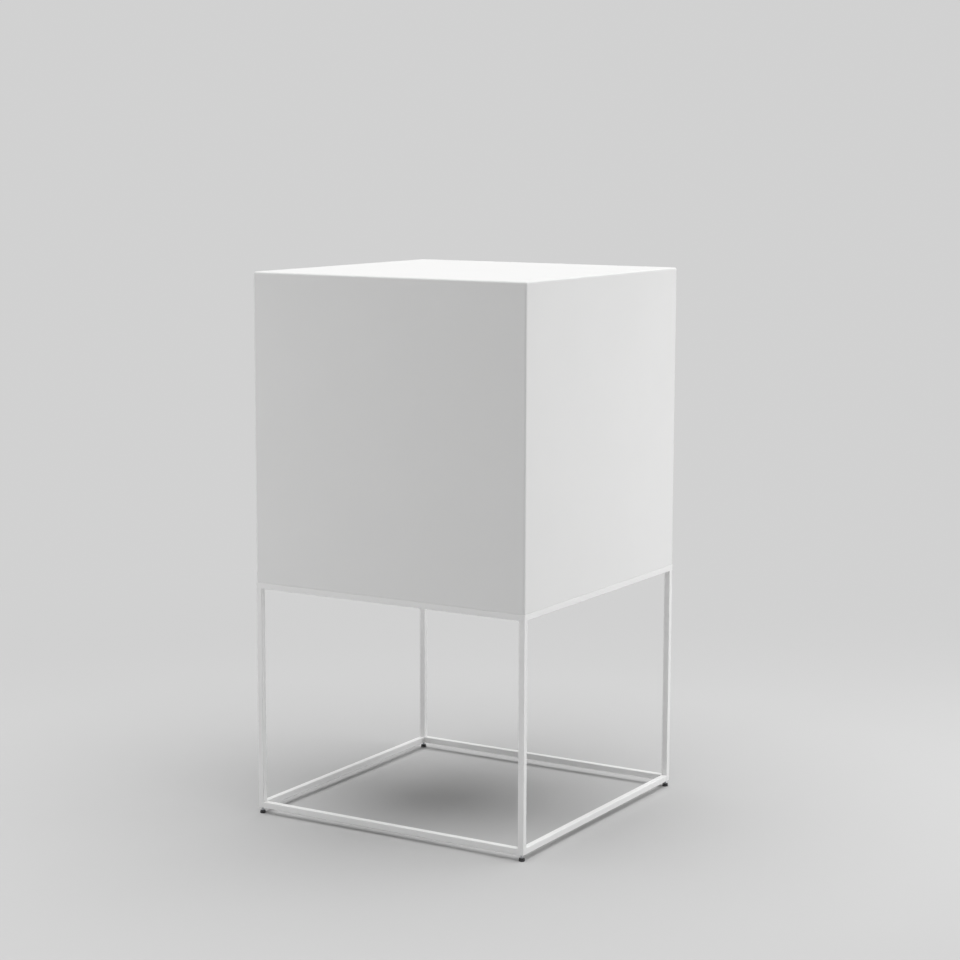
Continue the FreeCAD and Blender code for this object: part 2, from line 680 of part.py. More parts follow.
# ---------------------------------------------------------------- light unit: boards and batteries
def make_control_board():
    board = block(-board_length / 2, board_length / 2, board_y - board_width / 2, board_y + board_width / 2,
                  board_bottom, board_top)
    screws = []
    for x, y in control_bosses():
        board = board.cut(screw_hole(board_bottom, board_top, x, y))
        screws.append(tapping_screw(board_screw_length, x, y, board_top))
    save("control_board", board)
    save("board_screws", group(screws))
    plugs = []
    for x in (led_plug_x, battery_plug_x):
        plugs.append(block(x - plug_length / 2, x + plug_length / 2, plug_y - plug_width / 2,
                           plug_y + plug_width / 2, board_top, board_top + plug_height))
    inductor = post(inductor_diameter / 2, board_top, board_top + inductor_height, inductor_x, board_y)
    capacitors = [post(capacitor_diameter / 2, board_top, board_top + capacitor_height, x,
                       board_y - capacitor_back) for x in capacitor_places]
    chip = block(chip_x - chip_size / 2, chip_x + chip_size / 2, board_y - chip_size / 2,
                 board_y + chip_size / 2, board_top, board_top + chip_height)
    save("board_components", group([inductor, *capacitors, chip, *plugs]))


def cell_places():
    first = holder_front + holder_wall + cell_diameter / 2
    return [first + (cell_diameter + cell_gap) * i for i in range(cell_count)]


def make_batteries():
    """Three cells side by side in an open plastic cradle, held down by a sheet-metal strap."""
    cells = []
    for y in cell_places():
        start = Vector(-cell_length / 2, y, cell_axis)
        can = Part.makeCylinder(cell_diameter / 2, cell_length - cell_button_height, start, Vector(1, 0, 0))
        can = can.makeChamfer(cell_edge, [e for e in can.Edges if len(e.Vertexes) == 1])
        tip = Part.makeCylinder(cell_button_diameter / 2, cell_length, start, Vector(1, 0, 0))
        cells.append(can.fuse(tip).removeSplitter())
    save("battery_cells", group(cells))

    reach = cell_length / 2 + cell_play + holder_wall
    holder = block(-reach, reach, holder_front, holder_back, tray_inside, holder_top)
    for y in cell_places():
        start = Vector(-cell_length / 2 - cell_play, y, cell_axis)
        trough = Part.makeCylinder(cell_diameter / 2 + cell_play, cell_length + 2 * cell_play, start,
                                   Vector(1, 0, 0))
        holder = holder.cut(trough)
    save("battery_holder", holder)

    seat = tray_inside + strap_post_height
    top = cell_axis + cell_diameter / 2 + strap_play
    x0, x1 = -strap_width / 2, strap_width / 2
    outer_front = holder_front - strap_thickness
    outer_back = holder_back + strap_thickness
    band = block(x0, x1, outer_front, outer_back, top, top + strap_thickness)
    band = band.fuse(block(x0, x1, outer_front, holder_front, seat, top + strap_thickness))
    band = band.fuse(block(x0, x1, holder_back, outer_back, seat, top + strap_thickness))
    band = band.fuse(block(x0, x1, holder_front - strap_foot, holder_front, seat, seat + strap_thickness))
    band = band.fuse(block(x0, x1, holder_back, holder_back + strap_foot, seat, seat + strap_thickness))
    screws = []
    for x, y in strap_places():
        band = band.cut(screw_hole(seat, seat + strap_thickness, x, y))
        screws.append(tapping_screw(strap_screw_length, x, y, seat + strap_thickness))
    save("battery_strap", band.removeSplitter())
    save("strap_screws", group(screws))


def wire_pair(x):
    return (x - lead_spacing / 2, x + lead_spacing / 2)


def make_leads():
    """Two short pairs of wires: from the board up to the LEDs, and from the batteries to the board."""
    top = board_top + plug_height
    pair = wire_pair(led_plug_x)
    save("led_leads", group(post(lead_diameter / 2, top, plate_top, x, plug_y) for x in pair))
    z = board_top + lead_height
    length = holder_front - (plug_y + plug_width / 2)
    wires = []
    for x in wire_pair(battery_plug_x):
        start = Vector(x, plug_y + plug_width / 2, z)
        wires.append(Part.makeCylinder(lead_diameter / 2, length, start, Vector(0, 1, 0)))
    save("battery_leads", group(wires))


def drum(foot, top, z0, z1, bevel):
    """A solid tapered drum with a bevelled upper edge."""
    profile = Part.makePolygon([
        Vector(0, 0, z0),
        Vector(foot, 0, z0),
        Vector(top, 0, z1 - bevel),
        Vector(top - bevel, 0, z1),
        Vector(0, 0, z1),
        Vector(0, 0, z0),
    ])
    return Part.Face(profile).revolve(Vector(0, 0, 0), up, 360)


def make_light_engine():
    """Heat plate, round LED board with its chips, and the frosted drum over them."""
    flange_top_z = plate_top + dome_flange_thickness
    dome_top_z = plate_top + dome_height
    dome_top = dome_base - dome_taper
    plate = post(tray_outer, plate_bottom, plate_top)
    dome = post(tray_outer, plate_top, flange_top_z)
    dome = dome.fuse(drum(dome_base, dome_top, plate_top, dome_top_z, dome_bevel))
    dome = dome.cut(drum(dome_base - dome_wall, dome_top - dome_wall, plate_top - spare,
                         dome_top_z - dome_wall, dome_bevel))
    screws = []
    for x, y in on_circle(dome_screw_circle, dome_screw_count, dome_screw_turn):
        hole = screw_hole(plate_bottom, flange_top_z, x, y)
        plate = plate.cut(hole)
        dome = dome.cut(hole)
        screws.append(tapping_screw(dome_screw_length, x, y, flange_top_z))
    lead_hole = lead_diameter / 2 + lead_hole_clearance
    for x in wire_pair(led_plug_x):
        plate = plate.cut(post(lead_hole, plate_bottom - spare, plate_top + spare, x, plug_y))
    save("heat_plate", plate)
    save("diffuser_dome", dome.removeSplitter())
    save("dome_screws", group(screws))

    chip_base = plate_top + led_board_thickness
    reach = led_size / 2
    chips = []
    for n in range(1, led_ring_count + 1):
        radius = (led_board_radius - led_edge) * n / led_ring_count
        for x, y in on_circle(2 * radius, 6 * n):
            chips.append(block(x - reach, x + reach, y - reach, y + reach, chip_base, chip_base + led_height))
    save("led_board", post(led_board_radius, plate_top, chip_base))
    save("led_chips", group(chips))


def main():
    os.makedirs("parts", exist_ok=True)
    make_stand()
    make_corner_plates()
    make_feet()
    make_foot_bushes()
    make_shade()
    make_shade_fixings()
    make_mount_ring()
    make_tray()
    make_charge_socket()
    make_charge_cover()
    make_button()
    make_control_board()
    make_batteries()
    make_leads()
    make_light_engine()


main()
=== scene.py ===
# %% [markdown]
# A cube light on a thin square stand
#
# The lamp is a hollow white plastic cube, 600 mm each way, on an open stand of 12 mm square steel tube. A battery
# light unit twists into the cube's floor from below. The CAD model already holds every piece at its real size, so
# this lesson gives those pieces their surfaces, adds the small forms that a maker would see at arm's length, and
# sets up a plain studio.
#
# We load the CAD model first. It arrives in metres, in its own frame: +Z up, the floor at 0, -Y the front.

# %% Load the frame
import json
import math

import bmesh
import bpy
from mathutils import Matrix, Vector


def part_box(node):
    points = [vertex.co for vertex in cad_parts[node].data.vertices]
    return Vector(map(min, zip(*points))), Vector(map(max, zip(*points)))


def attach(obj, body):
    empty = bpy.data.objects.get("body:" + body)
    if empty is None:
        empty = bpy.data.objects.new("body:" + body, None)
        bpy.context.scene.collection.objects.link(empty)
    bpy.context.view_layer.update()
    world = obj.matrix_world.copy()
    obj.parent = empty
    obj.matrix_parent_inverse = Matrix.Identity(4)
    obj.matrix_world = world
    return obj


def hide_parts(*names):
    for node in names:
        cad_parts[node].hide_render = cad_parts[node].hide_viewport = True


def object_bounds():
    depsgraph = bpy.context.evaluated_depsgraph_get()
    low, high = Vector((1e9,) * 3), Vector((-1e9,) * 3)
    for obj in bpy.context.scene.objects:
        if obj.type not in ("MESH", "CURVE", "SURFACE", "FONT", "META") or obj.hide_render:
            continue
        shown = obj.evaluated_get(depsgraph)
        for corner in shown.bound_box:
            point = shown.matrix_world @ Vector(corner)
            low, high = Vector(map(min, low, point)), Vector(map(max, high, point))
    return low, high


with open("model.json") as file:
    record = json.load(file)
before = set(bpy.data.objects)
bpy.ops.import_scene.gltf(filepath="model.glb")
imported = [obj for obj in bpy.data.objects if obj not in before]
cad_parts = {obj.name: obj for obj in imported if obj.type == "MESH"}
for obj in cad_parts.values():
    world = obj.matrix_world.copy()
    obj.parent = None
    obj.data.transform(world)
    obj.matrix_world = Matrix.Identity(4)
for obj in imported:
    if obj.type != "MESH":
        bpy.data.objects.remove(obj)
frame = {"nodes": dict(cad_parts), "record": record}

cad_box = [list(corner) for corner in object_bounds()]
mm = 0.001
print("CAD box in metres:", cad_box)

# %% [markdown]
# Reading places from the CAD pieces
#
# A new piece should sit exactly where the CAD says. A node may hold several separate solids, such as six screws, so
# the helper below finds each one and returns its lowest and highest corner. It welds the vertices by place, then
# walks from vertex to vertex along the edges until a solid is complete.


# %% Find the separate solids of a node
def solid_boxes(node):
    """The lowest and highest corner of each separate solid of a CAD node."""
    welded = bmesh.new()
    welded.from_mesh(frame["nodes"][node].data)
    bmesh.ops.remove_doubles(welded, verts=welded.verts, dist=0.001 * mm)
    unseen = set(welded.verts)
    boxes = []
    while unseen:
        waiting = [unseen.pop()]
        solid = []
        while waiting:
            vertex = waiting.pop()
            solid.append(vertex.co.copy())
            for edge in vertex.link_edges:
                other = edge.other_vert(vertex)
                if other in unseen:
                    unseen.remove(other)
                    waiting.append(other)
        low = Vector([min(point[axis] for point in solid) for axis in range(3)])
        high = Vector([max(point[axis] for point in solid) for axis in range(3)])
        boxes.append((low, high))
    welded.free()
    return sorted(boxes, key=lambda box: tuple(round(value, 4) for value in box[0]))


def node_box(node):
    """The lowest and highest corner of a whole CAD node."""
    low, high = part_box(node)
    return Vector(low), Vector(high)


print("ring screws found:", len(solid_boxes("ring_screws")))

# %% [markdown]
# From rows of points to a mesh
#
# Turned pieces, screw heads and pads are all stacks of rows: each row is a closed loop of points, and each loop is
# sewn to the next with quads. A hexagon socket fits the same idea, because a hexagon can be sampled at the same
# angles as a circle. This is quicker to read than chains of modifiers, and it gives clean edge loops.


# %% Rows of points
row_points = 48


def angles(count):
    return [2 * math.pi * i / count for i in range(count)]


def round_row(radius, z, count=row_points):
    return [Vector((radius * math.cos(a), radius * math.sin(a), z)) for a in angles(count)]


def hexagon_row(across_flats, z):
    """A hexagon with its corners at 30, 90, 150 degrees and so on, sampled at the circle's angles."""
    row = []
    for angle in angles(row_points):
        from_flat = (angle + math.pi / 6) % (math.pi / 3) - math.pi / 6
        reach = across_flats / 2 / math.cos(from_flat)
        row.append(Vector((reach * math.cos(angle), reach * math.sin(angle), z)))
    return row


print("a full turn has", row_points, "points")


# %% Sewing rows and smooth shading
sharp_from = 35  # degrees between two faces, above which their edge stays sharp


def sew_rows(mesh, rows, place):
    """Joins closed rows of points into one skin and closes both ends with a fan about the middle."""
    loops = [[mesh.verts.new(place @ point) for point in row] for row in rows]
    for lower, upper in zip(loops, loops[1:]):
        for i in range(len(lower)):
            j = (i + 1) % len(lower)
            mesh.faces.new((lower[i], lower[j], upper[j], upper[i]))
    for loop in (list(reversed(loops[0])), loops[-1]):
        middle = mesh.verts.new(sum((vertex.co for vertex in loop), Vector()) / len(loop))
        for i in range(len(loop)):
            mesh.faces.new((loop[i], loop[(i + 1) % len(loop)], middle))


def make_piece(name, mesh, sharp_degrees=sharp_from):
    """Turns a bmesh into a named object, smooth except where its faces meet at more than the given angle."""
    bmesh.ops.recalc_face_normals(mesh, faces=mesh.faces)
    data = bpy.data.meshes.new(name)
    mesh.to_mesh(data)
    mesh.free()
    data.shade_smooth()
    data.set_sharp_from_angle(angle=math.radians(sharp_degrees))
    piece = bpy.data.objects.new(name, data)
    bpy.context.scene.collection.objects.link(piece)
    return piece


print("edges stay sharp from", sharp_from, "degrees")

# %% [markdown]
# Node groups: one effect, used by many finishes
#
# Moulded plastic, powder coat and rubber look different, yet they share a few effects: the tone drifts a little, the
# skin has a fine grain, edges are never knife sharp, and dust settles on what faces up. Each effect becomes a node
# group with named inputs, built once. A material then places the groups with its own values. The groups give out
# only colours, masks, heights and normals; the shader itself stays in the material.


# %% Helpers for node trees
def add_node(tree, kind, sockets=None, **settings):
    node = tree.nodes.new(kind)
    for key, value in settings.items():
        setattr(node, key, value)
    for key, value in (sockets or {}).items():
        node.inputs[key].default_value = value
    return node


def new_effect(name, inputs, outputs):
    """An empty node group with named sockets. Returns the group, its input node and its output node."""
    group = bpy.data.node_groups.new(name, "ShaderNodeTree")
    for label, value in inputs.items():
        kind = "NodeSocketColor" if isinstance(value, tuple) else "NodeSocketFloat"
        socket = group.interface.new_socket(label, in_out="INPUT", socket_type=kind)
        socket.default_value = value
    for label, kind in outputs.items():
        group.interface.new_socket(label, in_out="OUTPUT", socket_type=kind)
    return group, group.nodes.new("NodeGroupInput"), group.nodes.new("NodeGroupOutput")


def noise_of_size(tree, size, detail=2.0):
    """Noise on the piece's own coordinates, whose blotches are about as large as the size fed in, in metres."""
    place = add_node(tree, "ShaderNodeTexCoord")
    scale = add_node(tree, "ShaderNodeMath", {0: 1.0}, operation="DIVIDE")
    noise = add_node(tree, "ShaderNodeTexNoise", {"Detail": detail, "Roughness": 0.5})
    tree.links.new(size, scale.inputs[1])
    tree.links.new(place.outputs["Object"], noise.inputs["Vector"])
    tree.links.new(scale.outputs[0], noise.inputs["Scale"])
    return noise.outputs["Fac"]


print("helpers ready")

# %% [markdown]
# Effect 1: tone drift
#
# No large plastic or painted face has exactly one tone. Pigment and thickness vary over a hand's width. Noise
# brightens and darkens the colour by a percent or two, which the eye reads as real material rather than as dirt.

# %% Tone drift
tone_drift, given, result = new_effect(
    "tone drift", {"Color": (0.8, 0.8, 0.8, 1.0), "Amount": 0.02, "Size": 0.15}, {"Color": "NodeSocketColor"}
)
blotches = noise_of_size(tone_drift, given.outputs["Size"], detail=3.0)
centred = add_node(tone_drift, "ShaderNodeMath", {1: 0.5}, operation="SUBTRACT")
swing = add_node(tone_drift, "ShaderNodeMath", {2: 1.0}, operation="MULTIPLY_ADD")
spread = add_node(tone_drift, "ShaderNodeMath", {1: 4.0}, operation="MULTIPLY")  # noise strays by about a quarter
tinted = add_node(tone_drift, "ShaderNodeHueSaturation")
tone_drift.links.new(blotches, centred.inputs[0])
tone_drift.links.new(given.outputs["Amount"], spread.inputs[0])
tone_drift.links.new(centred.outputs[0], swing.inputs[0])
tone_drift.links.new(spread.outputs[0], swing.inputs[1])
tone_drift.links.new(swing.outputs[0], tinted.inputs["Value"])
tone_drift.links.new(given.outputs["Color"], tinted.inputs["Color"])
tone_drift.links.new(tinted.outputs["Color"], result.inputs["Color"])
print("tone drift:", len(tone_drift.nodes), "nodes")

# %% [markdown]
# Effect 2: fine grain
#
# Sparked moulds, powder and rubber all leave a skin of tiny bumps. The group gives a height from 0 to 1, made of a
# fine noise over a broader one; the Bump node in each material says how deep it is in metres.

# %% Fine grain
fine_grain, given, result = new_effect(
    "fine grain", {"Size": 0.0008, "Broad Size": 0.006, "Broad Share": 0.35}, {"Height": "NodeSocketFloat"}
)
fine = noise_of_size(fine_grain, given.outputs["Size"])
broad = noise_of_size(fine_grain, given.outputs["Broad Size"])
blend = add_node(fine_grain, "ShaderNodeMix", data_type="FLOAT")
fine_grain.links.new(given.outputs["Broad Share"], blend.inputs["Factor"])
fine_grain.links.new(fine, blend.inputs["A"])
fine_grain.links.new(broad, blend.inputs["B"])
fine_grain.links.new(blend.outputs["Result"], result.inputs["Height"])
print("fine grain:", len(fine_grain.nodes), "nodes")

# %% [markdown]
# Effect 3: soft edges
#
# The CAD solids have crisp edges where the real ones are rounded by a fraction of a millimetre. The Bevel node
# rounds the shading normal near an edge, so it catches a line of light. Comparing that normal with the true one
# also gives a mask of the edges, which the stand's finish uses to paint a highlight on them.

# %% Soft edges
soft_edges, given, result = new_effect(
    "soft edges", {"Radius": 0.0006}, {"Normal": "NodeSocketVector", "Edge": "NodeSocketFloat"}
)
rounded = add_node(soft_edges, "ShaderNodeBevel", samples=6)
true_normal = add_node(soft_edges, "ShaderNodeNewGeometry")
alike = add_node(soft_edges, "ShaderNodeVectorMath", operation="DOT_PRODUCT")
edge_mask = add_node(soft_edges, "ShaderNodeMapRange", {"From Min": 1.0, "From Max": 0.9})
soft_edges.links.new(given.outputs["Radius"], rounded.inputs["Radius"])
soft_edges.links.new(rounded.outputs["Normal"], alike.inputs[0])
soft_edges.links.new(true_normal.outputs["Normal"], alike.inputs[1])
soft_edges.links.new(alike.outputs["Value"], edge_mask.inputs["Value"])
soft_edges.links.new(rounded.outputs["Normal"], result.inputs["Normal"])
soft_edges.links.new(edge_mask.outputs["Result"], result.inputs["Edge"])
print("soft edges:", len(soft_edges.nodes), "nodes")

# %% [markdown]
# Effect 4: settled dust
#
# An outdoor lamp gathers a faint film on what faces up. The mask is the upward part of the normal, broken up by
# noise, so it never looks like a painted layer.

# %% Settled dust
settled_dust, given, result = new_effect(
    "settled dust", {"Amount": 0.2, "Size": 0.02}, {"Mask": "NodeSocketFloat"}
)
facing = add_node(settled_dust, "ShaderNodeNewGeometry")
split = add_node(settled_dust, "ShaderNodeSeparateXYZ")
upward = add_node(settled_dust, "ShaderNodeMapRange", {"From Min": 0.6, "From Max": 1.0})
patches = noise_of_size(settled_dust, given.outputs["Size"], detail=6.0)
broken = add_node(settled_dust, "ShaderNodeMath", operation="MULTIPLY")
scaled = add_node(settled_dust, "ShaderNodeMath", operation="MULTIPLY", use_clamp=True)
settled_dust.links.new(facing.outputs["Normal"], split.inputs["Vector"])
settled_dust.links.new(split.outputs["Z"], upward.inputs["Value"])
settled_dust.links.new(upward.outputs["Result"], broken.inputs[0])
settled_dust.links.new(patches, broken.inputs[1])
settled_dust.links.new(broken.outputs[0], scaled.inputs[0])
settled_dust.links.new(given.outputs["Amount"], scaled.inputs[1])
settled_dust.links.new(scaled.outputs[0], result.inputs["Mask"])
print("settled dust:", len(settled_dust.nodes), "nodes")

# %% [markdown]
# Effect 5: drawn streaks
#
# Rolled sheet and turned metal carry fine parallel lines. Noise stretched along one axis gives them, as a mask that
# can vary roughness and as a very shallow height.

# %% Drawn streaks
drawn_streaks, given, result = new_effect(
    "drawn streaks", {"Size": 0.0004, "Stretch": 0.03}, {"Mask": "NodeSocketFloat"}
)
place = add_node(drawn_streaks, "ShaderNodeTexCoord")
squeeze = add_node(drawn_streaks, "ShaderNodeCombineXYZ", {"Y": 1.0, "Z": 1.0})
stretched = add_node(drawn_streaks, "ShaderNodeVectorMath", operation="MULTIPLY")
per_metre = add_node(drawn_streaks, "ShaderNodeMath", {0: 1.0}, operation="DIVIDE")
streaks = add_node(drawn_streaks, "ShaderNodeTexNoise", {"Detail": 3.0})
drawn_streaks.links.new(given.outputs["Stretch"], squeeze.inputs["X"])
drawn_streaks.links.new(place.outputs["Object"], stretched.inputs[0])
drawn_streaks.links.new(squeeze.outputs["Vector"], stretched.inputs[1])
drawn_streaks.links.new(given.outputs["Size"], per_metre.inputs[1])
drawn_streaks.links.new(stretched.outputs["Vector"], streaks.inputs["Vector"])
drawn_streaks.links.new(per_metre.outputs[0], streaks.inputs["Scale"])
drawn_streaks.links.new(streaks.outputs["Fac"], result.inputs["Mask"])
print("drawn streaks:", len(drawn_streaks.nodes), "nodes")

# %% [markdown]
# One way to build a finish
#
# Every finish here starts the same way: a colour that drifts, a roughness that varies with the grain, soft edges and
# a bump. The function below wires that much and hands back the tree, so that a finish can add what is its own.


# %% The common part of every finish
def place_effect(tree, effect, **values):
    node = tree.nodes.new("ShaderNodeGroup")
    node.node_tree = effect
    for label, value in values.items():
        node.inputs[label.replace("_", " ").title()].default_value = value
    return node


def new_finish(name, colour, roughness, drift, drift_size, grain, depth, edge, metallic=0.0, roughness_swing=0.06):
    """A material with drifting colour, grain, soft edges and a roughness that follows the grain. Sizes in metres."""
    material = bpy.data.materials.new(name)
    material.use_nodes = True
    tree = material.node_tree
    shader = tree.nodes["Principled BSDF"]
    shader.inputs["Metallic"].default_value = metallic
    tone = place_effect(tree, tone_drift, color=(*colour, 1.0), amount=drift, size=drift_size)
    skin = place_effect(tree, fine_grain, size=grain, broad_size=grain * 8)
    edges = place_effect(tree, soft_edges, radius=edge)
    bump = add_node(tree, "ShaderNodeBump", {"Strength": 1.0, "Distance": depth})
    rough = add_node(tree, "ShaderNodeMapRange", {
        "From Min": 0.3, "From Max": 0.7, "To Min": roughness - roughness_swing, "To Max": roughness + roughness_swing,
    })
    tree.links.new(tone.outputs["Color"], shader.inputs["Base Color"])
    tree.links.new(skin.outputs["Height"], bump.inputs["Height"])
    tree.links.new(skin.outputs["Height"], rough.inputs["Value"])
    tree.links.new(edges.outputs["Normal"], bump.inputs["Normal"])
    tree.links.new(rough.outputs["Result"], shader.inputs["Roughness"])
    tree.links.new(bump.outputs["Normal"], shader.inputs["Normal"])
    return material, tree, shader


def mix_over(tree, shader, colour, mask, share=1.0):
    """Lays a second colour over what feeds the Base Color, where the mask says."""
    below = shader.inputs["Base Color"].links[0].from_socket
    amount = add_node(tree, "ShaderNodeMath", {1: share}, operation="MULTIPLY", use_clamp=True)
    layer = add_node(tree, "ShaderNodeMix", {"B": (*colour, 1.0)}, data_type="RGBA")
    tree.links.new(mask, amount.inputs[0])
    tree.links.new(amount.outputs[0], layer.inputs["Factor"])
    tree.links.new(below, layer.inputs["A"])
    tree.links.new(layer.outputs["Result"], shader.inputs["Base Color"])


finishes = {}

# %% [markdown]
# The cube: rotomoulded polyethylene
#
# Rotomoulded polyethylene is milky white and satin. Close to, its skin is slightly uneven, like the peel of an
# orange, because the powder melts against a warm metal wall. Two scales of bump give that: a broad swell of a few
# centimetres that bends the highlights, and a fine peel.

# %% Cube finish
cube_white = (0.85, 0.85, 0.846)
cube_dust = (0.74, 0.73, 0.7)
finishes["shade_white"], tree, shader = new_finish(
    "shade_white", cube_white, roughness=0.58, drift=0.008, drift_size=0.16, grain=0.0016, depth=0.00011, edge=0.0004,
)
swell = place_effect(tree, fine_grain, size=0.03, broad_size=0.09, broad_share=0.5)
broad_bump = add_node(tree, "ShaderNodeBump", {"Strength": 1.0, "Distance": 0.0001})
fine_bump = next(node for node in tree.nodes if node.type == "BUMP" and node is not broad_bump)
dust = place_effect(tree, settled_dust, amount=0.12, size=0.05)
tree.links.new(swell.outputs["Height"], broad_bump.inputs["Height"])
tree.links.new(fine_bump.outputs["Normal"], broad_bump.inputs["Normal"])
tree.links.new(broad_bump.outputs["Normal"], shader.inputs["Normal"])
mix_over(tree, shader, cube_dust, dust.outputs["Mask"])
print("cube finish has", len(tree.nodes), "nodes")

# %% [markdown]
# The stand: white powder coat
#
# Powder coat is harder, whiter and a little glossier than the cube, with a fine pebbled texture well under a
# millimetre. The edge mask paints the tube's corners a touch lighter in colour, a painted highlight along them.

# %% Stand finish
coat_white = (0.91, 0.91, 0.907)
# colour of the painted highlight along the tube's edges
edge_highlight_white = (0.925, 0.925, 0.923)
stand_dust = (0.72, 0.71, 0.68)
finishes["frame_coat"], tree, shader = new_finish(
    "frame_coat", coat_white, roughness=0.42, drift=0.008, drift_size=0.05, grain=0.0006, depth=0.00005, edge=0.0005,
    roughness_swing=0.08,
)
edges = next(node for node in tree.nodes if node.type == "GROUP" and node.node_tree == soft_edges)
dust = place_effect(tree, settled_dust, amount=0.1, size=0.012)
# painted highlight: the edge mask makes the tube's corners lighter in colour
mix_over(tree, shader, edge_highlight_white, edges.outputs["Edge"], share=0.5)
mix_over(tree, shader, stand_dust, dust.outputs["Mask"])
print("stand finish has", len(tree.nodes), "nodes")

# %% [markdown]
# The light unit's plastics and rubbers
#
# The tray and its ring are injection moulded in a sparked mould: white, finely pitted and duller than the cube. The
# feet are black nylon, the seals soft rubber, and the small parts glossy or satin. They differ by colour, roughness
# and grain only, so one table of values does for them.

# %% Mouldings and rubbers
plastics = {
    # name: colour, roughness, grain in metres, depth in metres
    "unit_white": ((0.78, 0.78, 0.775), 0.55, 0.0006, 0.00006),
    "foot_black": ((0.022, 0.022, 0.024), 0.5, 0.0005, 0.00005),
    "seal_rubber": ((0.03, 0.03, 0.033), 0.75, 0.0003, 0.00002),
    "cover_rubber": ((0.18, 0.185, 0.19), 0.68, 0.0004, 0.00004),
    "button_grey": ((0.2, 0.205, 0.215), 0.42, 0.0004, 0.00003),
    "socket_black": ((0.015, 0.015, 0.016), 0.22, 0.0006, 0.000004),
    "dome_opal": ((0.82, 0.82, 0.81), 0.5, 0.0003, 0.000008),
    "component_dark": ((0.03, 0.03, 0.033), 0.45, 0.0003, 0.00001),
    "cell_wrap": ((0.03, 0.12, 0.3), 0.3, 0.002, 0.00002),
    "holder_black": ((0.025, 0.025, 0.025), 0.55, 0.0004, 0.00002),
    "wire_red": ((0.42, 0.018, 0.012), 0.45, 0.0005, 0.000006),
}
for name, (colour, roughness, grain, depth) in plastics.items():
    finishes[name], tree, shader = new_finish(
        name, colour, roughness, drift=0.014, drift_size=0.03, grain=grain, depth=depth, edge=0.0003,
    )
print("plastics and rubbers:", len(plastics))

# %% [markdown]
# Circuit boards
#
# Solder mask is a thin glossy lacquer over copper. The copper below shows as slightly lighter tracks, so the green
# board gets a pattern of thin rectangles from the Brick texture, and the white LED board a fainter one. The LED
# chips have a yellow phosphor face.

# %% Board finishes
boards = {
    # name: mask colour, track colour, how strongly the tracks show
    "board_green": ((0.012, 0.11, 0.045), (0.03, 0.22, 0.1), 0.8),
    "led_board_white": ((0.78, 0.78, 0.76), (0.66, 0.66, 0.63), 0.6),
    "led_phosphor": ((0.85, 0.6, 0.12), (0.9, 0.72, 0.3), 0.4),
}
for name, (colour, track, share) in boards.items():
    finishes[name], tree, shader = new_finish(
        name, colour, 0.25, drift=0.04, drift_size=0.004, grain=0.0008, depth=0.000004, edge=0.0002,
    )
    place = add_node(tree, "ShaderNodeTexCoord")
    tracks = add_node(tree, "ShaderNodeTexBrick", {
        "Scale": 1.0, "Brick Width": 0.0065, "Row Height": 0.0022, "Mortar Size": 0.0004, "Mortar Smooth": 0.1,
        "Color1": (0, 0, 0, 1), "Color2": (0, 0, 0, 1), "Mortar": (1, 1, 1, 1),
    })
    tree.links.new(place.outputs["Object"], tracks.inputs["Vector"])
    mix_over(tree, shader, track, tracks.outputs["Color"], share)
print("boards:", len(boards))

# %% [markdown]
# Metals
#
# Zinc plate is bright and slightly blue, brass is warm, and rolled aluminium is paler and streaked. For a metal the
# Base Color is what it reflects, so most of the character comes from how its roughness varies: the streak mask
# drives it.

# %% Metal finishes
metals = {
    # name: colour, roughness, streak size in metres
    "zinc_steel": ((0.6, 0.61, 0.63), 0.3, 0.0005),
    "brass": ((0.72, 0.52, 0.24), 0.28, 0.0004),
    "heat_aluminium": ((0.72, 0.73, 0.74), 0.36, 0.0006),
}
for name, (colour, roughness, streak) in metals.items():
    finishes[name], tree, shader = new_finish(
        name, colour, roughness, drift=0.04, drift_size=0.006, grain=0.0008, depth=0.000003, edge=0.0002,
        metallic=1.0,
    )
    lines = place_effect(tree, drawn_streaks, size=streak)
    rough = add_node(tree, "ShaderNodeMapRange", {
        "From Min": 0.35, "From Max": 0.65, "To Min": roughness - 0.08, "To Max": roughness + 0.12,
    })
    tree.links.new(lines.outputs["Mask"], rough.inputs["Value"])
    tree.links.new(rough.outputs["Result"], shader.inputs["Roughness"])
print("metals:", len(metals))

# %% [markdown]
# Dressing the CAD pieces
#
# The record names a material slot for each CAD piece. We only swap what sits in the piece's material slot; the mesh
# and its place are left alone. A new piece gets its finish in the same way, and is told which body it moves with.


# %% Give every CAD piece its finish
def dress(piece, slot):
    piece.data.materials.clear()
    piece.data.materials.append(finishes[slot])


slot_of = {entry["node"]: entry["material_slot"] for entry in frame["record"]["subparts"]}
for node, slot in slot_of.items():
    dress(frame["nodes"][node], slot)
print("dressed", len(slot_of), "CAD pieces in", len(set(slot_of.values())), "finishes")


# %% Add a new piece to the lamp
def add_to_part(piece, body, slot, *replaced):
    """Dresses a new piece, says which body it moves with and hides the CAD nodes that it stands for."""
    dress(piece, slot)
    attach(piece, body)
    if replaced:
        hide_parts(*replaced)
    return piece


# %% [markdown]
# Feet: real threads
#
# The feet screw in and out of the legs, and 6 mm of their studs show above the pads. In CAD a stud is a plain
# cylinder. Here the thread is wound as a helix: every point of a row sits a little higher than the last, and the
# top of one turn is the bottom of the next. Near both ends the crest sinks to the root, as a turned stud's does.

# %% Wind a thread
thread_pitch = 1.0 * mm
thread_depth = 0.61 * mm
thread_steps = 32  # points in one turn
end_share = 0.6  # radius of the stud's ends, as a share of the crest's


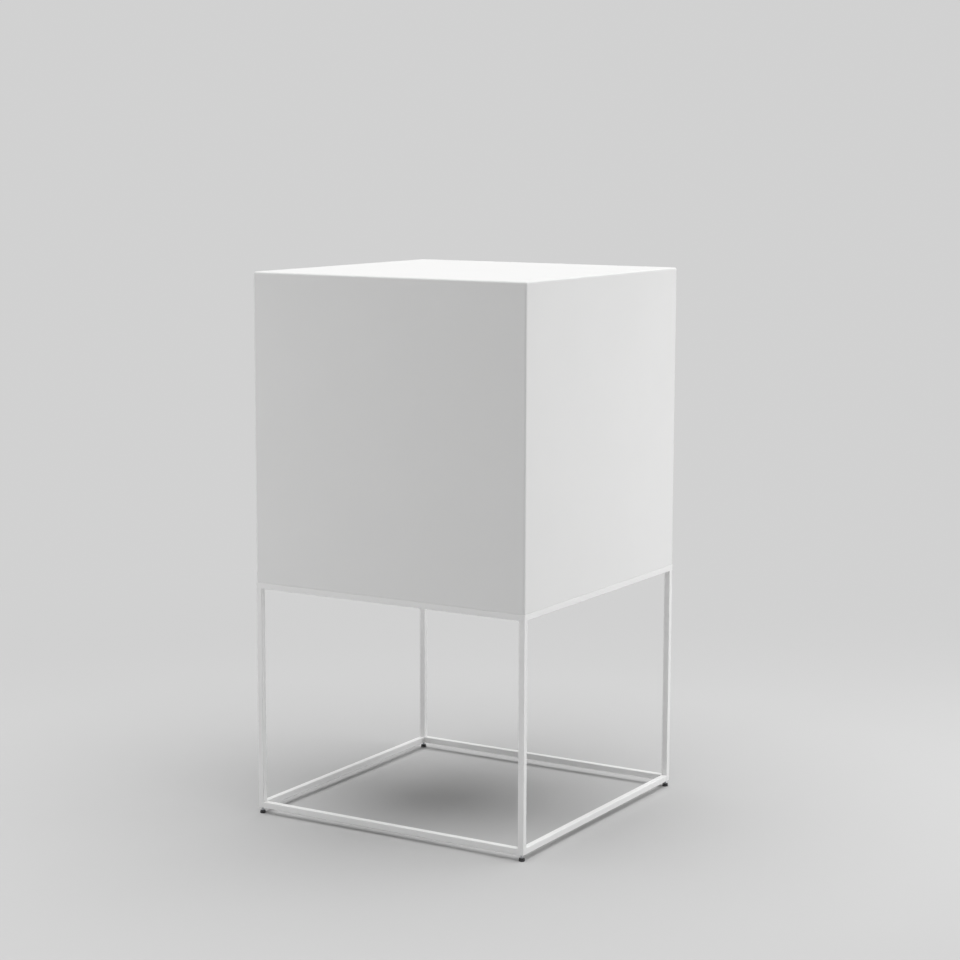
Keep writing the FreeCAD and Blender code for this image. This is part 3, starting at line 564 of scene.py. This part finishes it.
def threaded_stud(name, low, high):
    """A stud filling the box from low to high, with its thread as one continuous helix."""
    centre = (low + high) / 2
    crest = (high.x - low.x) / 2
    root = crest - thread_depth
    across = ((0.0, root), (0.35, crest), (0.5, crest), (0.85, root))  # share of the pitch, radius
    turns = (high.z - low.z) / thread_pitch
    total = int((turns + 1) * thread_steps)
    mesh = bmesh.new()
    rows = []
    for i in range(total):
        angle = 2 * math.pi * i / thread_steps
        row = []
        for share, radius in across:
            z = low.z + thread_pitch * (i / thread_steps - 1 + share)
            z = min(max(z, low.z), high.z)
            taper = root - thread_depth / 2 + min(z - low.z, high.z - z)
            reach = min(radius, max(taper, end_share * crest))
            row.append(mesh.verts.new((centre.x + reach * math.cos(angle), centre.y + reach * math.sin(angle), z)))
        rows.append(row)
    for i in range(total - 1):
        for k in range(len(across) - 1):
            mesh.faces.new((rows[i][k], rows[i + 1][k], rows[i + 1][k + 1], rows[i][k + 1]))
        if i + thread_steps + 1 < total:
            above, beyond = rows[i + thread_steps], rows[i + thread_steps + 1]
            mesh.faces.new((rows[i][-1], rows[i + 1][-1], beyond[0], above[0]))
    for z, first in ((low.z, 0), (high.z, total - thread_steps)):
        rim = [rows[first + i][0 if z == low.z else -1] for i in range(thread_steps)]
        middle = mesh.verts.new((centre.x, centre.y, z))
        for a, b in zip(rim, rim[1:]):
            mesh.faces.new((a, b, middle))
        mesh.faces.new((rim[-1], rim[0], middle))
    return make_piece(name, mesh)


print("thread:", round(thread_pitch / mm, 2), "mm pitch,", round(thread_depth / mm, 2), "mm deep")

# %% Threaded studs
corners = ("front_left", "front_right", "back_right", "back_left")
for corner in corners:
    stud = threaded_stud("stud_thread_" + corner, *node_box("foot_stud_" + corner))
    add_to_part(stud, "foot_" + corner, "zinc_steel", "foot_stud_" + corner)
print("studs have", len(stud.data.vertices), "vertices each")

# %% [markdown]
# Feet: moulded pads
#
# A nylon pad is moulded round its stud: a disc with rounded rims, and a hexagon on top for a spanner, its corners
# turned down. Stacked rows make it, round ones below and hexagonal ones above.

# %% Moulded pads
hexagon_height = 2.5 * mm
hexagon_flats = 9.0 * mm
hexagon_chamfer = 0.5 * mm
pad_rim = 0.9 * mm


def rounded_rim(radius, z, corner, rising, steps=5):
    """Rows that take a rim round a quarter circle, from its flat face out to its side or back."""
    rows = []
    for i in range(steps + 1):
        turn = math.pi / 2 * i / steps
        turn = turn if rising else math.pi / 2 - turn
        side = -1 if rising else 1
        rows.append(round_row(radius - corner + corner * math.sin(turn), z + side * corner * math.cos(turn)))
    return rows


for corner in corners:
    low, high = node_box("foot_pad_" + corner)
    radius = (high.x - low.x) / 2
    disc_top = high.z - hexagon_height
    rows = [round_row(radius - 2.2 * mm, low.z), round_row(radius - 1.6 * mm, low.z)]  # the flat underside
    rows += rounded_rim(radius, low.z + pad_rim, pad_rim, rising=True)
    rows += rounded_rim(radius, disc_top - pad_rim, pad_rim, rising=False)
    rows += [hexagon_row(hexagon_flats, disc_top), hexagon_row(hexagon_flats, high.z - hexagon_chamfer)]
    rows += [hexagon_row(hexagon_flats - 2.2 * hexagon_chamfer, high.z), round_row(3.1 * mm, high.z)]
    mesh = bmesh.new()
    sew_rows(mesh, rows, Matrix.Translation(((low.x + high.x) / 2, (low.y + high.y) / 2, 0)))
    pad = make_piece("pad_" + corner, mesh, sharp_degrees=30)
    add_to_part(pad, "foot_" + corner, "foot_black", "foot_pad_" + corner)
print("pads made for", len(corners), "feet")

# %% [markdown]
# Screws with domed heads
#
# All the screws are button heads with a hexagon socket. The CAD heads are plain cones, so each group is made again:
# a rim, a dome in a few rows, the socket's hexagon, and a shank with a point. The helper reads each screw's place
# and length from the CAD box; a table gives the end that its head is at.

# %% One domed screw
shank_share = 0.55  # radius of the shank, as a share of the head's
key_share = 0.38  # socket across its flats, as a share of the head's width
rim_share = 0.15  # how much of the head's height is its straight rim
crown_share = 0.45  # how far the dome draws in, as a share of the head's radius
crown_curve = 1.6
dome_sweep = math.radians(60)
dome_steps = 6
under_head = 0.1 * mm  # chamfer of the head's lower edge


def domed_screw(mesh, low, high, head_height, head_below):
    """One screw filling its box, its head at the lower or the upper end."""
    head_radius = (high.x - low.x) / 2
    shank_radius = head_radius * shank_share
    length = high.z - low.z - head_height
    rows = [round_row(0.15 * shank_radius, length), round_row(shank_radius, length - shank_radius)]  # its point
    rows += [round_row(shank_radius, 0.0), round_row(head_radius - under_head, 0.0)]
    rows += [round_row(head_radius, -under_head), round_row(head_radius, -rim_share * head_height)]
    for step in range(1, dome_steps + 1):
        turn = dome_sweep * step / dome_steps
        drop = rim_share + (1 - rim_share) * (1 - math.cos(turn)) / (1 - math.cos(dome_sweep))
        drawn_in = crown_share * (step / dome_steps) ** crown_curve
        rows.append(round_row(head_radius * (1 - drawn_in), -head_height * min(drop, 1.0)))
    key = 2 * head_radius * key_share
    for flats, share in ((1.06, 1.0), (1.0, 0.94), (1.0, 0.4)):  # the socket's chamfered mouth and its walls
        rows.append(hexagon_row(key * flats, -head_height * share))
    rows.append(round_row(key * 0.3, -head_height * 0.34))  # the drill's point at its bottom
    centre = Vector(((low.x + high.x) / 2, (low.y + high.y) / 2, 0))
    if head_below:
        place = Matrix.Translation(centre + Vector((0, 0, low.z + head_height)))
    else:
        place = Matrix.Translation(centre + Vector((0, 0, high.z - head_height)))
        place = place @ Matrix.Rotation(math.pi, 4, "X")
    sew_rows(mesh, rows, place)


print("heads drawn in", dome_steps, "steps over", round(math.degrees(dome_sweep)), "degrees")

# %% All the screws
screw_groups = {
    # node: body, head height in metres, head at the lower end
    "shade_screws": ("stand", 3.3 * mm, True),
    "ring_screws": ("stand", 2.2 * mm, True),
    "dome_screws": ("light_unit", 2.2 * mm, False),
    "board_screws": ("light_unit", 2.2 * mm, False),
    "strap_screws": ("light_unit", 2.2 * mm, False),
}
for node, (body, head_height, head_below) in screw_groups.items():
    mesh = bmesh.new()
    boxes = solid_boxes(node)
    for low, high in boxes:
        domed_screw(mesh, low, high, head_height, head_below)
    add_to_part(make_piece("domed_" + node, mesh, sharp_degrees=28), body, "zinc_steel", node)
    print(node, len(boxes))

# %% [markdown]
# Weld beads under the corner plates
#
# The four plates that carry the cube are welded to the rails from below. A fillet weld is a quarter-round bead with
# overlapping ripples, buried under the powder coat. Each bead is a row of quarter arcs along the joint whose size
# pulses from ripple to ripple.

# %% One weld bead
bead_size = 2.6 * mm
bead_margin = 6 * mm  # from each end of the joint to its bead
ripple_pitch = 1.8 * mm
ripple_depth = 0.14  # as a share of the bead's size
arcs_in_ripple = 4
arc_steps = 6


def weld_bead(mesh, start, end, wall, down):
    """A bead along the inside corner from start to end, spreading over the wall and down from the plate."""
    length = (end - start).length
    count = int(length / ripple_pitch) * arcs_in_ripple
    arcs = []
    for i in range(count + 1):
        along = i / count
        ripple = 1 - ripple_depth + ripple_depth * abs(math.sin(math.pi * length * along / ripple_pitch))
        ending = min(1.0, 12 * min(along, 1 - along) + 0.25)  # a bead starts and ends at a quarter of its size
        size = bead_size * ripple * ending
        middle = start.lerp(end, along)
        arcs.append([
            mesh.verts.new(middle + size * (math.cos(turn) * wall + math.sin(turn) * down))
            for turn in (math.pi / 2 * k / arc_steps for k in range(arc_steps + 1))
        ])
    for near, far in zip(arcs, arcs[1:]):
        for k in range(arc_steps):
            mesh.faces.new((near[k], far[k], far[k + 1], near[k + 1]))


print("bead:", round(bead_size / mm, 2), "mm, ripples every", round(ripple_pitch / mm, 2), "mm")

# %% Beads along two sides of each corner plate
mesh = bmesh.new()
for low, high in solid_boxes("corner_plates"):
    toward = Vector((-1 if low.x > 0 else 1, -1 if low.y > 0 else 1, 0))  # from the corner to the middle
    corner = Vector((high.x if low.x > 0 else low.x, high.y if low.y > 0 else low.y, low.z))
    for axis in (0, 1):
        along = Vector((toward.x, 0, 0)) if axis == 0 else Vector((0, toward.y, 0))
        inward = Vector((0, toward.y, 0)) if axis == 0 else Vector((toward.x, 0, 0))
        first = corner + along * bead_margin
        last = corner + along * ((high - low)[axis] - bead_margin)
        weld_bead(mesh, first, last, inward, Vector((0, 0, -1)))
beads = add_to_part(make_piece("weld_beads", mesh, sharp_degrees=60), "stand", "frame_coat")
print("beads have", len(beads.data.vertices), "vertices")

# %% [markdown]
# The power button
#
# A finger finds a button by its dish. The cap is turned from rows: a shallow dish, a rounded rim, the straight
# side, then the flange and stem that stay inside the tray. The raised mark on it is the plain open ring and bar
# that stand for power everywhere.

# %% Dished button
low, high = node_box("power_button")
button_centre = Vector(((low.x + high.x) / 2, (low.y + high.y) / 2, 0))
flange_radius = (high.x - low.x) / 2
cap_radius = flange_radius - 2.0 * mm
cap_rim = 0.8 * mm
stem_radius = 2.0 * mm
dish_depth = 0.45 * mm
dish_share = 0.82  # radius of the dish, as a share of the cap's
dish_bottom = low.z + dish_depth
flange_bottom = low.z + 4.6 * mm
flange_top = flange_bottom + 1.2 * mm
rows = [round_row(0.4 * mm, dish_bottom)]
for share in (0.2, 0.4, 0.6, 0.75, dish_share):
    rows.append(round_row(cap_radius * share, low.z + dish_depth * (1 - (share / dish_share) ** 2)))
rows += rounded_rim(cap_radius, low.z + cap_rim, cap_rim, rising=True)
rows += [round_row(cap_radius, flange_bottom), round_row(flange_radius, flange_bottom)]
rows += [round_row(flange_radius, flange_top), round_row(stem_radius, flange_top), round_row(stem_radius, high.z)]
mesh = bmesh.new()
sew_rows(mesh, rows, Matrix.Translation(button_centre))
add_to_part(make_piece("dished_button", mesh), "button", "button_grey", "power_button")
print("button is", round(2000 * cap_radius, 1), "mm wide")


# %% The button's mark
def raised_strip(mesh, path, width, base, height):
    """A low raised band on an underside that follows a path of points, with bevelled sides."""
    lines = []
    for i, point in enumerate(path):
        ahead = path[min(i + 1, len(path) - 1)] - path[max(i - 1, 0)]
        side = Vector((-ahead.y, ahead.x, 0)).normalized()
        lines.append([
            mesh.verts.new(Vector((*(point + side * offset * width).xy, base - rise * height)))
            for offset, rise in ((-0.5, 0.0), (-0.36, 1.0), (0.36, 1.0), (0.5, 0.0))  # shares of width and height
        ])
    for near, far in zip(lines, lines[1:]):
        for k in range(3):
            mesh.faces.new((near[k], far[k], far[k + 1], near[k + 1]))
    for end in (lines[0], lines[-1]):
        mesh.faces.new(end)


mark_radius = 3.0 * mm
mark_line = 0.8 * mm
mark_height = 0.4 * mm
open_ring = [
    button_centre + mark_radius * Vector((math.sin(math.radians(a)), math.cos(math.radians(a)), 0))
    for a in range(35, 326, 10)
]
bar = [button_centre + Vector((0, y * mm, 0)) for y in (0.6, 2.4, 4.2)]
mesh = bmesh.new()
for path in (open_ring, bar):
    raised_strip(mesh, path, mark_line, dish_bottom, mark_height)
add_to_part(make_piece("button_mark", mesh), "button", "unit_white")
print("its mark is", round(2000 * mark_radius, 1), "mm across")

# %% [markdown]
# The charging socket's rubber flap
#
# Rubber has no sharp edges. The flap is a thick disc with a full rounded rim, a shallow recess below and a short plug
# above that grips the socket, with an arm to the hinge barrel and a ribbed tab for a fingernail. Disc and barrel are
# stacked rows; arm and tab are slabs with their edges bevelled. The slabs come last: a bevel frees the places of its
# old faces in no fixed order, so faces made after it would be listed differently in each run.

# %% Disc of the flap, with its plug
socket_low, socket_high = node_box("charge_socket")
pin_low, pin_high = node_box("cover_pin")
cover_low, cover_high = node_box("charge_cover")
flap_centre = Vector(((socket_low.x + socket_high.x) / 2, (socket_low.y + socket_high.y) / 2, 0))
hinge_y = (pin_low.y + pin_high.y) / 2
hinge_z = (pin_low.z + pin_high.z) / 2
flap_radius = (cover_high.x - cover_low.x) / 2
flap_thickness = 2.4 * mm
flap_bottom = hinge_z - flap_thickness / 2
flap_top = flap_bottom + flap_thickness
flap_rim = 0.9 * mm
recess_top = flap_bottom + 0.35 * mm
plug_radius = 2.5 * mm
plug_chamfer = 0.4 * mm
rows = [round_row(flap_radius * 0.4, recess_top), round_row(flap_radius * 0.62, recess_top)]
rows += [round_row(flap_radius * 0.68, flap_bottom)]  # the edge of the recess
rows += rounded_rim(flap_radius, flap_bottom + flap_rim, flap_rim, rising=True)
rows += rounded_rim(flap_radius, flap_top - flap_rim, flap_rim, rising=False)
rows += [round_row(plug_radius + 0.1 * mm, flap_top), round_row(plug_radius, cover_high.z - plug_chamfer)]
rows += [round_row(plug_radius - plug_chamfer, cover_high.z)]
flap = bmesh.new()
sew_rows(flap, rows, Matrix.Translation(flap_centre))
print("flap is", round(2000 * flap_radius, 1), "mm across")

# %% Hinge barrel
half_barrel = 3.5 * mm
barrel_radius = 2.0 * mm
barrel_chamfer = 0.3 * mm
bore_radius = 1.06 * mm
half_profile = [
    round_row(barrel_radius, half_barrel - barrel_chamfer),
    round_row(barrel_radius - barrel_chamfer, half_barrel),
    round_row(bore_radius, half_barrel),
]
mirrored = [[Vector((point.x, point.y, -point.z)) for point in row] for row in reversed(half_profile)]
along_x = Matrix.Translation((flap_centre.x, hinge_y, hinge_z)) @ Matrix.Rotation(math.pi / 2, 4, "Y")
sew_rows(flap, mirrored + half_profile, along_x)
print("its hinge barrel is", round(2000 * half_barrel, 1), "mm long")


# %% Arm and tab
def slab(mesh, low, high, corner):
    """A block between two corners, all its edges bevelled."""
    made = bmesh.ops.create_cube(mesh, size=1.0)
    for vertex in made["verts"]:
        vertex.co = Vector([low[k] + (vertex.co[k] + 0.5) * (high[k] - low[k]) for k in range(3)])
    edges = list(dict.fromkeys(edge for vertex in made["verts"] for edge in vertex.link_edges))  # each edge once
    bmesh.ops.bevel(mesh, geom=edges, offset=corner, segments=3, profile=0.5, affect="EDGES")


tab_half = 3.0 * mm
tab_end = cover_high.y
nail_rib_half = 0.2 * mm
inside_rim = 0.87 * (flap_radius - 1.5 * mm)  # arm and tab start this far from the disc's middle
sunk = 0.25 * mm  # arm and tab lie this far in from the disc's faces, so that they run cleanly into its rim
slab(flap, (flap_centre.x - half_barrel, hinge_y, flap_bottom + sunk),
     (flap_centre.x + half_barrel, flap_centre.y - inside_rim, flap_top - sunk), 0.5 * mm)
slab(flap, (flap_centre.x - tab_half, flap_centre.y + inside_rim, flap_bottom + sunk),
     (flap_centre.x + tab_half, tab_end, hinge_z), 0.4 * mm)
for from_end in (0.65 * mm, 1.5 * mm, 2.35 * mm):
    y = tab_end - from_end
    slab(flap, (flap_centre.x - 0.8 * tab_half, y - nail_rib_half, flap_bottom),
         (flap_centre.x + 0.8 * tab_half, y + nail_rib_half, flap_bottom + 2 * sunk), nail_rib_half / 2)
add_to_part(make_piece("rubber_flap", flap), "charge_flap", "cover_rubber", "charge_cover")
print("its tab is", round(2000 * tab_half, 1), "mm wide")

# %% [markdown]
# Marks and ribs on the light unit
#
# The unit turns 60 degrees between locked and free, and nobody looks under a lamp for long, so moulders put raised
# marks there: an arrow round the way to turn, a filled dot on the ring for locked and an open ring for free. The
# grip gets ribs for the fingers.

# %% Turning arrow
tray_bottom = socket_low.z + 1.5 * mm  # the socket stands this far out of the tray
arrow_radius = 90 * mm
arrow_width = 2.0 * mm
head_half = 4.5 * mm
triangle_inset = 0.12  # how far a raised triangle's corners draw in, as a share of the way to its middle


def at_angle(radius, degrees):
    """A point on a circle round the lamp's axis, its angle counted from the front."""
    turn = math.radians(degrees)
    return Vector((radius * math.sin(turn), -radius * math.cos(turn), 0))


def raised_triangle(mesh, points, base, height):
    """A low raised triangle on an underside, with bevelled sides."""
    centre = sum(points, Vector()) / 3
    root = [mesh.verts.new(Vector((*point.xy, base))) for point in points]
    face = [mesh.verts.new(Vector((*point.lerp(centre, triangle_inset).xy, base - height))) for point in points]
    mesh.faces.new(face)
    for i in range(3):
        j = (i + 1) % 3
        mesh.faces.new((root[i], root[j], face[j], face[i]))


sweep = [at_angle(arrow_radius, a) for a in (*range(-24, 15, 3), 15.2)]
head = [at_angle(arrow_radius, 22), at_angle(arrow_radius + head_half, 15), at_angle(arrow_radius - head_half, 15)]
pointer = [at_angle(106.5 * mm, 0), at_angle(101 * mm, -2.0), at_angle(101 * mm, 2.0)]  # shows where the unit stands
mesh = bmesh.new()
raised_strip(mesh, sweep, arrow_width, tray_bottom, mark_height)
for triangle in (head, pointer):
    raised_triangle(mesh, triangle, tray_bottom, mark_height)
add_to_part(make_piece("turning_arrow", mesh), "light_unit", "unit_white")
print("tray underside at", round(1000 * tray_bottom, 1), "mm")

# %% Dots for locked and free
ring_bottom = node_box("mount_ring")[0].z
dot_radius = 1.8 * mm
dot_chamfer = 0.3 * mm
dot_height = 0.5 * mm
dot_circle = 114.4 * mm
dot_points = 24
free_angle = -60  # the twist from locked to free, seen from below
dot = [round_row(dot_radius, 0, dot_points), round_row(dot_radius - dot_chamfer, -dot_height, dot_points)]
free_centre = at_angle(dot_circle, free_angle)
free_ring = [free_centre + point for point in round_row(dot_radius, 0, dot_points)]
free_ring.append(free_ring[0])
mesh = bmesh.new()
sew_rows(mesh, dot, Matrix.Translation(at_angle(dot_circle, 0) + Vector((0, 0, ring_bottom))))
raised_strip(mesh, free_ring, mark_line, ring_bottom, dot_height)
add_to_part(make_piece("lock_dots", mesh), "stand", "unit_white")
print("ring underside at", round(1000 * ring_bottom, 1), "mm")

# %% Finger ribs on the grip
grip_half = 7.0 * mm
rib_pitch = 9 * mm
rib_proud = 0.7 * mm
rib_half = 0.9 * mm
rib_low = node_box("light_tray")[0].z + 3.4 * mm
rib_high = tray_bottom - 1.5 * mm
mesh = bmesh.new()
for x in (-grip_half, grip_half):
    for y in (i * rib_pitch for i in range(-5, 6)):
        slab(mesh, (x - rib_proud, y - rib_half, rib_low), (x + rib_proud, y + rib_half, rib_high), rib_half / 2)
add_to_part(make_piece("grip_ribs", mesh), "light_unit", "unit_white")
print("ribs are", round(1000 * (rib_high - rib_low), 1), "mm high")

# %% [markdown]
# A plain studio
#
# The lamp is white, so the floor and the background are a pale grey that it can stand out from. The floor is matt
# near the lamp, where it takes the shadow, and fades by distance into the same grey as the world, so no horizon
# shows. Seen from below the floor lets the camera through, so that the underside can be looked at.


# %% What only the camera sees
def looking(tree):
    """1 for what the camera sees straight, in a reflection or through glass, and 0 for light on its way."""
    ray = add_node(tree, "ShaderNodeLightPath")
    straight = add_node(tree, "ShaderNodeMath", operation="ADD")
    every_way = add_node(tree, "ShaderNodeMath", operation="ADD", use_clamp=True)
    tree.links.new(ray.outputs["Is Camera Ray"], straight.inputs[0])
    tree.links.new(ray.outputs["Is Glossy Ray"], straight.inputs[1])
    tree.links.new(straight.outputs[0], every_way.inputs[0])
    tree.links.new(ray.outputs["Is Transmission Ray"], every_way.inputs[1])
    return every_way.outputs[0]


backdrop = (0.64, 0.64, 0.64)
print("the camera sees", backdrop[0], "behind the lamp")

# %% Floor
floor_reach = 40.0
mesh = bmesh.new()
bmesh.ops.create_circle(mesh, cap_ends=True, segments=96, radius=floor_reach)
floor = make_piece("studio_floor", mesh)
print("floor reaches", floor_reach, "m")

# %% Floor paper
floor_colour = (0.53, 0.53, 0.53)
fade_start, fade_end = 0.9, 2.6  # metres from the lamp's axis
floor_paper = bpy.data.materials.new("floor_paper")
floor_paper.use_nodes = True
tree = floor_paper.node_tree
shader = tree.nodes["Principled BSDF"]
shader.inputs["Roughness"].default_value = 0.9
shader.inputs["Specular IOR Level"].default_value = 0.1
tone = place_effect(tree, tone_drift, color=(*floor_colour, 1.0), amount=0.004, size=0.4)
tree.links.new(tone.outputs["Color"], shader.inputs["Base Color"])
glow = add_node(tree, "ShaderNodeEmission", {"Color": (*backdrop, 1.0), "Strength": 1.0})
place = add_node(tree, "ShaderNodeTexCoord")
distance = add_node(tree, "ShaderNodeVectorMath", operation="LENGTH")
fade = add_node(
    tree, "ShaderNodeMapRange", {"From Min": fade_start, "From Max": fade_end}, interpolation_type="SMOOTHSTEP"
)
far_share = add_node(tree, "ShaderNodeMath", operation="MULTIPLY")
far_mix = add_node(tree, "ShaderNodeMixShader")
side = add_node(tree, "ShaderNodeNewGeometry")
clear = add_node(tree, "ShaderNodeBsdfTransparent")
side_mix = add_node(tree, "ShaderNodeMixShader")
output = tree.nodes["Material Output"]
tree.links.new(place.outputs["Object"], distance.inputs[0])
tree.links.new(distance.outputs["Value"], fade.inputs["Value"])
tree.links.new(fade.outputs["Result"], far_share.inputs[0])
tree.links.new(looking(tree), far_share.inputs[1])
tree.links.new(far_share.outputs[0], far_mix.inputs[0])
tree.links.new(shader.outputs[0], far_mix.inputs[1])
tree.links.new(glow.outputs[0], far_mix.inputs[2])
tree.links.new(side.outputs["Backfacing"], side_mix.inputs[0])
tree.links.new(far_mix.outputs[0], side_mix.inputs[1])
tree.links.new(clear.outputs[0], side_mix.inputs[2])
tree.links.new(side_mix.outputs[0], output.inputs["Surface"])
floor.data.materials.append(floor_paper)
print("floor paper has", len(tree.nodes), "nodes")

# %% World
fill_level = 0.08  # even light from all around, so that no side is quite dark
world = bpy.data.worlds.new("studio")
bpy.context.scene.world = world
world.use_nodes = True
tree = world.node_tree
fill = tree.nodes["Background"]
fill.inputs["Color"].default_value = (1.0, 1.0, 1.0, 1.0)
fill.inputs["Strength"].default_value = fill_level
seen = add_node(tree, "ShaderNodeBackground", {"Color": (*backdrop, 1.0), "Strength": 1.0})
choose = add_node(tree, "ShaderNodeMixShader")
tree.links.new(looking(tree), choose.inputs[0])
tree.links.new(fill.outputs[0], choose.inputs[1])
tree.links.new(seen.outputs[0], choose.inputs[2])
tree.links.new(choose.outputs[0], tree.nodes["World Output"].inputs["Surface"])
print("world lights at", fill_level)

# %% [markdown]
# Soft light
#
# In the photograph the lamp's top is brightest, its right side next and its front the darkest of the three. The
# front fades a little towards the near edge and the right side towards the same edge, so a light stands at the left
# front and another at the right back. A sun with a wide disc gives the even light from above; because it has no
# distance, the floor stays evenly lit too.


# %% Overhead light
def aim(thing, source, target):
    """Stands a lamp at the source, turned to the target."""
    thing.location = source
    thing.rotation_euler = (source - target).to_track_quat("Z", "Y").to_euler()
    bpy.context.scene.collection.objects.link(thing)


middle = Vector((0, 0, (cad_box[0][2] + cad_box[1][2]) / 2))
overhead_level = 1.04  # light on a surface that faces it, where 1 shows a white as white
overhead_lean = Vector((0.08, 0.04, 0.99))  # a little from the right and from behind
overhead = bpy.data.lights.new("overhead", "SUN")
overhead.angle = math.radians(75)
overhead.energy = overhead_level * math.pi
aim(bpy.data.objects.new("overhead", overhead), middle + overhead_lean * 5, middle)
print("overhead light gives", round(overhead.energy, 2), "W per square metre")

# %% Two side lamps
level_distance = 3.0  # metres from a side lamp to the surface that its level is given for
side_lamps = {
    # name: where it stands, its width, its level
    "left_lamp": (Vector((-2.2, -1.9, 0.8)), 1.2, 0.147),
    "right_lamp": (Vector((2.4, 1.6, 0.8)), 1.4, 0.263),
}
for name, (place, width, level) in side_lamps.items():
    lamp = bpy.data.lights.new(name, "AREA")
    lamp.shape = "DISK"
    lamp.size = width
    lamp.energy = level * math.pi ** 2 * level_distance ** 2
    aim(bpy.data.objects.new(name, lamp), place, middle)
    print(name, "gives", round(lamp.energy, 1), "W")

# %% [markdown]
# The camera
#
# The photograph's camera was worked out from the lamp's straight edges: a long lens, a little above the middle of
# the lamp and turned 31 degrees to the right of its front.

# %% Camera
camera_place = Vector((2.3162, -3.8048, 1.2957))
camera_azimuth = 31.06
camera_elevation = 8.27
camera_roll = 0.19
view = bpy.data.cameras.new("photo_view")
view.lens = 85.66
view.sensor_width = 36.0
camera = bpy.data.objects.new("photo_view", view)
bpy.context.scene.collection.objects.link(camera)
turn = Matrix.Rotation(math.radians(camera_azimuth), 4, "Z")
tilt = Matrix.Rotation(math.radians(90 - camera_elevation), 4, "X")
roll = Matrix.Rotation(math.radians(camera_roll), 4, "Z")
camera.matrix_world = Matrix.Translation(camera_place) @ turn @ tilt @ roll
bpy.context.scene.camera = camera
bpy.context.scene.view_settings.view_transform = "Standard"
print("camera at", tuple(camera.location))
